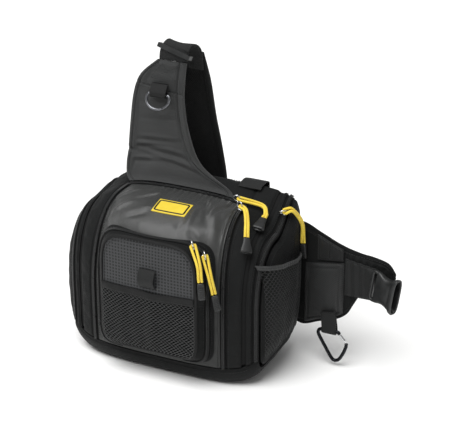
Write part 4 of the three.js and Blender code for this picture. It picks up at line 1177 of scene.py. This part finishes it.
# Webbing of the strap: a wide band carries on from the front pad, goes over the top through a moulded slide
# and is sewn to the back pad. A narrower band over the ridge makes a grab loop.
WEB_THICK = 2.0
STRAP_WEB, LOOP_WEB = 38.0, 30.0
LOOP_X = 76.0
LOOP_TOP = 227.0
OVER_TOP = [(-34, 50.4, 368.6), (-34, 51.2, 374.5), (-32.6, 52.2, 380), (-31, 55.5, 385.5),
            (-28.6, 60.5, 388), (-26, 66, 386), (-24.5, 71.5, 379), (-24.5, 75, 367), (-24.5, 76, 352)]


def band(name, points, width, material=webbing_weave, **ties):
    """Flat webbing along a smooth path; its width keeps to the X direction as far as the path lets it."""
    at = between(points, np.linspace(0, 1, 120))
    along = path_along(at)
    side = unit(RIGHTWARD - along * along[:, :1])
    return sweep(name, at, side, np.cross(along, side), oval(width, WEB_THICK, 44, 6), material,
                 slot="webbing", **ties)


band("strap_top_webbing", OVER_TOP, STRAP_WEB, replaced=["strap_webbing"])
_, ridge_y, ridge_z = body_point(LOOP_X, RIDGE)
loop_foot = float(body_point(61, 60)[2]) + 1.6
TOP_LOOP = [(36, loop_foot), (40, LOOP_TOP - 1.5), (46, LOOP_TOP), (ridge_y - 2, LOOP_TOP),
            (ridge_y + 5, LOOP_TOP - 2.5), (64, ridge_z + 2), (64, ridge_z - 18)]
band("top_loop_webbing", [(LOOP_X, y, z) for y, z in TOP_LOOP], LOOP_WEB, replaced=["top_loop"])

# The slide is a moulded frame of black plastic with a bar across, which the webbing goes round. Its solid is
# welded and its edges are rounded.
black_plastic = moulded_plastic("black_moulded_plastic", "#161717", "#272828", 0.4, 0.5)
slide = frame["nodes"]["strap_lock"]
weld = slide.modifiers.new("weld", "WELD")
weld.merge_threshold = 0.02 * MM
round_off = slide.modifiers.new("bevel", "BEVEL")
round_off.width = 0.9 * MM
round_off.segments = 3
round_off.limit_method = "ANGLE"
round_off.angle_limit = np.radians(35)
slide.data.materials.clear()
slide.data.materials.append(black_plastic)


# The ring on the strap is bent from plated wire, with a straight bar above and a bow below. A folded tab of
# webbing holds its bar and is sewn to the pad, so the ring swings on the bar.
def joint_place(name):
    """Where a joint's axis lies, in millimetres."""
    return np.array(next(j for j in frame["joints"] if j["name"] == name)["pos_m"]) / MM


RING_X, RING_Y, RING_Z = joint_place("ring_swing")
RING_HALF, RING_TALL, RING_WIRE = 15.5, 18.0, 1.75
RING_TAB_WEB = 22.0
WIRE_GAP = 0.35


def plated_metal(name, ground, worn, roughness):
    """Plated metal: bright, with dull patches where it is rubbed."""
    material, tree, shader = new_material(name)
    at = put(tree, "ShaderNodeTexCoord").outputs["Object"]
    patches = put(tree, "ShaderNodeTexNoise", {"Vector": at, "Scale": 1 / (4 * MM), "Detail": 4.0})
    tone = put(tree, "ShaderNodeMix", {0: patches.outputs["Fac"], 6: linear(ground), 7: linear(worn)},
               data_type="RGBA")
    rough = put(tree, "ShaderNodeMapRange",
                {"Value": patches.outputs["Fac"], "From Min": 0.3, "From Max": 0.7,
                 "To Min": roughness - 0.06, "To Max": roughness + 0.08})
    fill(tree, shader, {"Base Color": tone.outputs[2], "Roughness": rough.outputs[0], "Metallic": 1.0})
    return material


def half_turn(x, y, z, radius):
    """Nine points of a half circle in the plane at x, from behind, under the point (y, z), to the front."""
    t = np.linspace(0, np.pi, 9)
    return xyz(x, y + radius * np.cos(t), z - radius * np.sin(t))


dull_steel = plated_metal("smoked_nickel_wire", "#5A5B5E", "#85868A", 0.3)
ring_down = unit(np.array([0, -0.42, -1.0]))
bow = [(1, 0.2), (0.9, 0.62), (0.5, 0.93), (0, 1.02), (-0.5, 0.93), (-0.9, 0.62), (-1, 0.2)]
ring_table = np.array([(-0.88, 0), (-0.68, 0), (0, 0), (0.68, 0), (0.88, 0), *bow])
wrapped = np.concatenate([ring_table[-2:], ring_table, ring_table[:3]])
lap = between(wrapped, np.linspace(2, len(ring_table) + 2, 160, endpoint=False) / (len(wrapped) - 1))
ring_path = np.array([RING_X, RING_Y, RING_Z]) + lap[:, :1] * RING_HALF * RIGHTWARD
ring_path = ring_path + lap[:, 1:] * RING_TALL * ring_down
ring_flat = unit(np.cross(RIGHTWARD, ring_down))
sweep("d_ring_wire", ring_path, unit(np.cross(lap_along(ring_path), ring_flat)), ring_flat,
      oval(2 * RING_WIRE, 2 * RING_WIRE, 16), dull_steel, closed=True, body="strap_ring", slot="steel",
      replaced=["d_ring"])
bend = RING_WIRE + WIRE_GAP + WEB_THICK / 2
tab_back = float(np.interp(RING_Z + 10, FRONT_ROWS[:, 3], FRONT_ROWS[:, 2])) - 6 - 1.3
tab_points = [(RING_X, tab_back, RING_Z + 13), (RING_X, RING_Y + bend, RING_Z + 2),
              *half_turn(RING_X, RING_Y, RING_Z, bend),
              (RING_X, RING_Y - bend + 0.8, RING_Z + 4), (RING_X, tab_back - 2.5, RING_Z + 13)]
band("d_ring_tab_webbing", tab_points, RING_TAB_WEB, bound_edge, replaced=["d_ring_tab"])

# The wing of the belt: a thin foam pad, bound round its edge, sewn behind the bag's right end. A slack pouch
# and a doubled webbing patch are sewn on it, and it narrows to the webbing that holds the buckle.
WING_ROWS = np.array([
    # x, y, low, high
    (112, 66.2, 46, 172),
    (138, 62, 36, 180),
    (165, 56, 48, 173),
    (188, 51.4, 58, 166),
    (204, 49.2, 70, 162),
    (214, 48.1, 88, 160.4),
    (224, 47.2, 104, 159),
    (240, 46, 112, 158),
    (258, 44.5, 120, 154),
    (268, 43, 130, 143),
])
WING_PAD = 6.0
WING_GAP = 0.4
WING_FILL, WING_BLOW = 0.6, 2.0


def wing_at(x):
    """The wing's row at x: the share of the way between the rows' x values, read by the same cubics."""
    place = np.interp(x, WING_ROWS[:, 0], np.arange(len(WING_ROWS)))
    return between(WING_ROWS, place / (len(WING_ROWS) - 1))


def wing(u, v):
    """z runs from the row's low edge to its high edge."""
    row = between(WING_ROWS, u)
    return xyz(row[..., 0], row[..., 1], mix(row[..., 2], row[..., 3], v))


def wing_thick(u):
    """The pad's thickness, thinned to 0.6 of it towards the neck."""
    return (WING_PAD - WING_GAP) * mix(1, 0.6, rise(0.85, 1, u))


def wing_relief(u, v, face, points):
    """A groove inside the bound edge, upright wrinkles at the neck and slack elsewhere."""
    row = between(WING_ROWS, u)
    edge = np.minimum(v, 1 - v) * (row[..., 3] - row[..., 2])
    neck = 0.9 * np.sin(points[..., 0] / 1.7 + 2 * noise(points, 20, 93)) * rise(198, 208, points[..., 0])
    return -1.0 * bell(edge - 5, 1.2) + (neck + 0.7 * noise(points, 22, 91)) * rise(3, 12, edge)


pad("wing_pad", wing, wing_thick, FORWARD, (120, 150), matt_nylon, wing_relief, WING_BLOW, WING_FILL,
    slot="padding", replaced=["wing"])
u = np.linspace(0.03, 0.97, 150)
wing_out = normal_of(wing, u, 0.5 + 0 * u, FORWARD, 0.001)
wing_rows = [(wing(u, share) + (WING_PAD / 2 + 0.1) * wing_out, wing_out) for share in (0.06, 0.94)]
stitching("wing_stitching", wing_rows, "padding")


# The pouch on the wing is of slack mesh cloth. The patch above it is doubled webbing, sewn down its middle.
# The belt's webbing runs gathered from the neck to the bar of the buckle.
def on_wing(name, across, heights, steps, stand, thick, belly, material, relief, **ties):
    """A piece on the wing's face: x runs across, z between two heights, and it stands off by stand and a
    belly of sqrt(sin * sin), with relief(x, z, edge) added and its edges rolled in."""
    a, b = np.linspace(0, 1, steps[0])[:, None], np.linspace(0, 1, steps[1])[None, :]
    x = mix(*across, a) + 0 * b
    low, high = (h(x) for h in heights)
    z = mix(low, high, b)
    edge = np.minimum(np.minimum(a, 1 - a) * (across[1] - across[0]), np.minimum(b, 1 - b) * (high - low))
    bulge = belly * np.sqrt(np.maximum(np.sin(np.pi * a) * np.sin(np.pi * b), 0))
    y = wing_at(x)[..., 1] - WING_PAD / 2 - stand - bulge - relief(x, z, edge) * rise(0, 5, edge)
    outer = xyz(x, y + 0.8 * bell(edge, 1.4), z)
    return wall(name, outer, outer - thick * FORWARD, material, **ties)


def pouch_relief(x, z, edge):
    """Random slack, with a sewn groove 6 mm inside the edge."""
    return noise(xyz(x, 0, z), 14, 95) - 1.2 * bell(edge - 6, 1.2) + 0.3


def patch_relief(x, z, edge):
    """A deep seam down the middle and a shallow one inside the edge."""
    return 0.8 - 1.8 * bell(x - 180.5, 1.1) - 0.6 * bell(edge - 4, 1.0)


def neck_relief(x, z, edge):
    """Upright gathers, a sine along x, that end where the webbing lifts to the buckle's bar."""
    gathers = 0.7 * np.sin(x / 1.7 + 0.03 * (z - 120)) * rise(232, 224, x)
    return 0.3 + gathers + 2.2 * rise(228, 238, x)


pouch_mesh = woven_cloth("pouch_mesh_cloth", "#111212", "#242525", 1.1, 0.9, 0.5, 0.4, 0.08)
on_wing("wing_pouch_cloth", (144, 200),
        (lambda x: wing_at(x)[..., 2] + 5, lambda x: mix(128, 142, (x - 144) / 56)), (60, 66), 1.9, 1.2, 8,
        pouch_mesh, pouch_relief, slot="ripstop", replaced=["wing_pouch"])
on_wing("wing_patch_webbing", (162, 199),
        (lambda x: mix(136, 144.5, (x - 162) / 37), lambda x: wing_at(x)[..., 3] - 3), (70, 50), 2.6, 2, 0,
        webbing_weave, patch_relief, slot="webbing", replaced=["wing_patch"])
on_wing("belt_neck_webbing", (202, 244),
        (lambda x: 99 + 0.06 * (x - 202), lambda x: 149 - 0.1 * (x - 202)), (70, 40), 3.1, 2.6, 0,
        webbing_weave, neck_relief, slot="webbing", replaced=["belt_webbing"])

# The socket half of a side-release buckle, moulded in black plastic, with a drawn-in waist and a flared mouth
# to the right. The webbing goes round the bar at its other end.
BUCKLE_AT = np.array([239.4, wing_at(238.0)[1] - WING_PAD / 2 - 6.5, 126.8])
BUCKLE_ROWS = np.array([
    # along, half-width, half-thickness: the outside to the mouth, then the inside back to the socket's end
    (8.4, 18.4, 2.6), (9.2, 20.6, 4.2), (13, 20.2, 5.0), (18, 18.4, 5.8), (23, 17.4, 6.4), (29, 18.2, 6.9),
    (34, 20.4, 7.1), (36, 22.2, 7.6), (39.6, 23.3, 7.9), (41, 23.1, 7.4), (41, 21.6, 6.0), (39.5, 20.8, 5.3),
    (34, 18.4, 5.0), (27, 16.0, 4.8), (22, 15.2, 4.6),
])
BUCKLE_BAR = np.array([(9.5, -18.6), (4.4, -18.8), (2.4, -16.8), (2.2, -8), (2.2, 8), (2.4, 16.8),
                       (4.4, 18.8), (9.5, 18.6)])
BUCKLE_STEPS, BUCKLE_OUTSIDE = 150, 90
GRIP_RIB, GRIP_PITCH = 0.35, 2.6


def sections(widths, depths, count, square):
    """A superellipse for each station, of these widths and depths."""
    return oval(1, 1, count, square)[None] * np.stack([widths, depths], -1)[:, None]


lean = np.array([0.26, 0, 1.0])
buckle_x = unit(np.array([1, -0.42, -0.1]))
buckle_y = unit(lean - buckle_x * np.dot(lean, buckle_x))
buckle_z = np.cross(buckle_x, buckle_y)
rows = between(BUCKLE_ROWS, np.linspace(0, 1, BUCKLE_STEPS))
ribs = GRIP_RIB * np.cos(2 * np.pi * rows[:, 0] / GRIP_PITCH) * bell(rows[:, 0] - 22, 5)
ribs = ribs * (np.arange(BUCKLE_STEPS) < BUCKLE_OUTSIDE)
sweep("buckle_socket", BUCKLE_AT + rows[:, :1] * buckle_x, buckle_y, buckle_z,
      sections(2 * (rows[:, 1] + ribs), 2 * rows[:, 2], 56, 3.4), black_plastic, slot="moulded",
      replaced=["buckle"])
bar = between(BUCKLE_BAR, np.linspace(0, 1, 90))
bar_path = BUCKLE_AT + bar[:, :1] * buckle_x + bar[:, 1:] * buckle_y
sweep("buckle_bar", bar_path, unit(np.cross(path_along(bar_path), buckle_z)), buckle_z,
      oval(4.2, 6.4, 20, 2.8), black_plastic, slot="moulded")

# The snap hook hangs by its bar in a loop of webbing below the wing. It is bent from black plated wire, with
# a bright spring gate, whose foot is slim so that it turns clear of the wire.
HOOK_X, HOOK_Y, HOOK_Z = joint_place("hook_swing")
HOOK_WIRE, GATE_WIRE = 2.2, 1.85
HOOK_WEB = 19.0
HOOK_BEND = np.array([(13.6, -2.6), (10.8, 0), (0, 0), (-10.5, 0), (-14.6, -3.4), (-13.4, -10), (-4, -26),
                      (3.5, -38), (8, -41), (13.5, -38.5), (19, -29), (22.6, -19), (23.2, -14)])
GATE_FOOT, GATE_TIP = (22.9, -12.9), (14.1, -3.05)
steel = plated_metal("nickel_plated_steel", "#C2C3C4", "#E8E9EA", 0.22)
black_steel = plated_metal("black_plated_steel", "#1C1D1F", "#2E2F32", 0.28)


def hook_part(name, line, section, material, **ties):
    """Wire bent along a line in the hook's plane, which is given from the middle of its bar."""
    path = xyz(HOOK_X + line[:, 0], HOOK_Y, HOOK_Z + line[:, 1])
    sweep(name, path, unit(np.cross(path_along(path), FORWARD)), FORWARD, section, material, **ties)


bend = HOOK_WIRE + WIRE_GAP + WEB_THICK / 2
hook_loop = [(HOOK_X - 3, 41, 73), (HOOK_X, HOOK_Y + bend - 0.6, HOOK_Z + 5),
             *half_turn(HOOK_X, HOOK_Y, HOOK_Z, bend),
             (HOOK_X, HOOK_Y - bend + 0.6, HOOK_Z + 5), (HOOK_X - 3, 38.5, 73)]
band("hook_loop_webbing", hook_loop, HOOK_WEB, replaced=["carabiner_loop"])
hook_part("hook_wire", between(HOOK_BEND, np.linspace(0, 1, 140)), oval(2 * HOOK_WIRE, 2 * HOOK_WIRE, 18),
          black_steel, body="hook", slot="black_metal", replaced=["carabiner"])
slim = mix(0.45, 1.0, rise(0, 0.3, np.linspace(0, 1, 40)))[:, None, None]
hook_part("hook_gate_wire", np.linspace(GATE_FOOT, GATE_TIP, 40),
          oval(2 * GATE_WIRE, 2 * GATE_WIRE, 16) * slim, steel, body="hook_gate", slot="steel",
          replaced=["carabiner_gate"])

# The zip pulls. Each is a yellow braided cord, looped through the wire ring of a plated slider, its two ends
# moulded into a black grip. Cord points are the ones that the solids follow.
CORD, CORD_BEND, CORD_LEG, PEG_ABOVE = 3.4, 2.75, 1.85, 5.6
BRAID_STEP, BRAID_LAY, BRAID_STRANDS = 0.8, 9.0, 4
SLIDER_WIDE, SLIDER_DEEP, SLIDER_HALF = 7.5, 3.0, 3.5
RING_RADIUS, RING_ROUND = 4.2, 1.6
SLIM = (8.4, 9.5, 22.0, 6.0)
FLARED = (9.0, 15.0, 20.0, 6.0)
FLARED_FROM = 12


def braided_cord(name, ground, light):
    """Two sets of strands wound opposite ways cross as a braid: waves along the cord, leant to each side. The
    strands' crowns are painted the light colour as a highlight and the grooves between them the ground colour
    as shade, dimmed in random stains.
    """
    material, tree, shader = new_material(name)
    at = put(tree, "ShaderNodeTexCoord").outputs["UV"]
    slants = [put(tree, "ShaderNodeMapping", {"Vector": at, "Rotation": (0, 0, np.radians(lean))})
              for lean in (35, -35)]
    waves = [put(tree, "ShaderNodeTexWave", {"Vector": slant.outputs[0], "Scale": wave_scale(1.7)})
             for slant in slants]
    braid = put(tree, "ShaderNodeMath", {0: waves[0].outputs["Fac"], 1: waves[1].outputs["Fac"]},
                operation="MAXIMUM")
    stain = put(tree, "ShaderNodeTexNoise", {"Vector": at, "Scale": 1 / (8 * MM), "Detail": 3.0})
    spread = put(tree, "ShaderNodeMapRange", {"Value": stain.outputs["Fac"], "From Min": 0.3, "From Max": 0.6,
                                              "To Min": 0.5, "To Max": 1.0})
    # Painted light and shade: the strands' crowns take the light colour and the grooves the dark ground, with
    # random stains.
    painted_braid_light_and_stain = put(tree, "ShaderNodeMath", {0: braid.outputs[0], 1: spread.outputs[0]}, operation="MULTIPLY")
    tone = put(tree, "ShaderNodeMix", {0: painted_braid_light_and_stain.outputs[0], 6: linear(ground), 7: linear(light)},
               data_type="RGBA")
    bump = put(tree, "ShaderNodeBump", {"Height": braid.outputs[0], "Distance": 0.3 * MM, "Strength": 0.8})
    fill(tree, shader, {"Base Color": tone.outputs[2], "Normal": bump.outputs["Normal"], "Roughness": 0.6,
                        "Sheen Weight": 0.2})
    return material


yellow_cord = braided_cord("yellow_braided_cord", "#DDB11E", "#F9E24A")
grip_rubber = moulded_plastic("grip_rubber", "#101111", "#222323", 0.45, 0.45)


def zip_slider(name, slider, out, side, down):
    """A die-cast body, a superellipse section that narrows down the zip, with a ring through its bridge."""
    t = np.linspace(-1, 1, 30)
    width = SLIDER_WIDE * np.maximum(1 - np.abs(t) ** 6, 0.02) ** 0.3 * mix(1, 0.78, rise(-0.4, 1, t))
    deep = SLIDER_DEEP * np.maximum(1 - np.abs(t) ** 4, 0.04) ** 0.4
    sweep(f"{name}_slider_body", slider + 2 * out + SLIDER_HALF * t[:, None] * down, side, out,
          sections(width, deep, 24, 3), steel, slot="steel", replaced=[f"{name}_slider"])
    t = np.linspace(0, 2 * np.pi, 48, endpoint=False)[:, None]
    spoke = np.cos(t) * down + np.sin(t) * out
    middle = slider + PEG_ABOVE * out - RING_RADIUS * down
    sweep(f"{name}_slider_ring", middle + RING_RADIUS * spoke, spoke, side, oval(RING_ROUND, RING_ROUND, 10),
          steel, closed=True, slot="steel")


def pull_grip(name, end, along, across, grip):
    """A superellipse section whose width follows the grip's taper; a slim grip has ribs round it."""
    head, foot, long, thick = grip
    flared = foot > FLARED_FROM
    place = np.linspace(0, 1, 80)
    ends = (1 - 0.3 * (1 - place / 0.06).clip(0) ** 2) * (1 - 0.25 * ((place - 0.9) / 0.1).clip(0) ** 2)
    width = mix(head, foot, rise(0.1, 1, place) if flared else place) * ends
    ribs = 1 + 0.11 * np.cos(2 * np.pi * place * 9) * rise(0.12, 0.2, place) * rise(0.96, 0.88, place)
    deep = thick * (1 if flared else ribs) * ends ** 1.3
    at = end + along * (0.7 + long * place[:, None])
    return sweep(f"{name}_grip_rubber", at, across, np.cross(along, across), sections(width, deep, 28, 3.4),
                 grip_rubber, slot="moulded", replaced=[f"{name}_grip"])


def zip_pull(name, slider, out, route, grip, front=None):
    """The cord's two legs run beside the route, from the grip round the slider's ring in a half circle and
    back. Its section is a circle that ripples with the strands of the braid."""
    route = np.array(route, float)
    front = out if front is None else np.array(front, float)
    down = route[0] - slider
    down = unit(down - out * np.dot(down, out))
    side = unit(np.cross(down, out))
    zip_slider(name, slider, out, side, down)
    end = route[-1]
    along = unit(end - route[-2])
    across = unit(np.cross(along, front))
    stretch = np.concatenate([route[:-1], [end - 5 * along, end]])
    lean = unit(mix(side, across, np.linspace(0, 1, len(stretch))[:, None]))
    t = np.linspace(1, -1, 5)[:, None] * np.pi / 2
    bend = slider + PEG_ABOVE * out + CORD_BEND * (np.sin(t) * side - np.cos(t) * down)
    knots = np.concatenate([(stretch + CORD_LEG * lean)[::-1], bend, stretch - CORD_LEG * lean])
    path = between(knots, np.linspace(0, 1, 40 * (len(knots) - 1)))
    path, axes = even(path, np.tile(front, (len(path), 1)), BRAID_STEP)
    t = np.linspace(0, 2 * np.pi, 12, endpoint=False)
    lay = 2 * np.pi * np.arange(len(path))[:, None] * BRAID_STEP / BRAID_LAY
    strands = np.maximum(np.cos(BRAID_STRANDS * (t + lay)), np.cos(BRAID_STRANDS * (t - lay)))
    section = CORD / 2 * (1 + 0.07 * strands - 0.03)[..., None] * np.stack([np.cos(t), np.sin(t)], -1)
    cord = sweep(f"{name}_cord_braid", path, axes[:, 1], axes[:, 2], section, yellow_cord, slot="cord",
                 replaced=[f"{name}_cord"])
    made = pull_grip(name, end, along, across, grip)


def pocket_out(turn):
    """Direction in which a slider stands off the pocket's zip, between the gusset's slope and the front."""
    return unit(np.array([0.6 * np.cos(np.radians(turn)), -0.75, 0.4 * np.sin(np.radians(turn))]))


def on_pocket_zip(turn, lift):
    """A point over the pocket's zip."""
    return pocket_point(turn, POCKET_ZIP) + lift * pocket_out(turn)


def over_shell(*places):
    """Points over the shell, each given by its x, turn and lift."""
    return [shell_line(*place)[0] for place in places]


zip_pull("pocket_pull_a", on_pocket_zip(52, 4.6), pocket_out(52), [(69, -92.5, 174), (71, -92.5, 152)], SLIM)
zip_pull("pocket_pull_b", on_pocket_zip(41, 3.4), pocket_out(30), [(80, -85, 158), (84, -82, 134)], SLIM)
zip_pull("main_pull_a", *shell_line(82, 92, 0.2), over_shell((88.5, 95, 6), (97, 107, 6), (104, 121, 6)),
         FLARED)
zip_pull("main_pull_b", *shell_line(74, 79, 0.4), over_shell((101, 74, 7), (108, 82, 7), (108.5, 91, 6.5)),
         FLARED)
zip_pull("rear_pull", *shell_line(127, 64, 2), [(137, 30, 208), (143, 45, 186), (142.8, 50.5, 156)], SLIM,
         FORWARD)
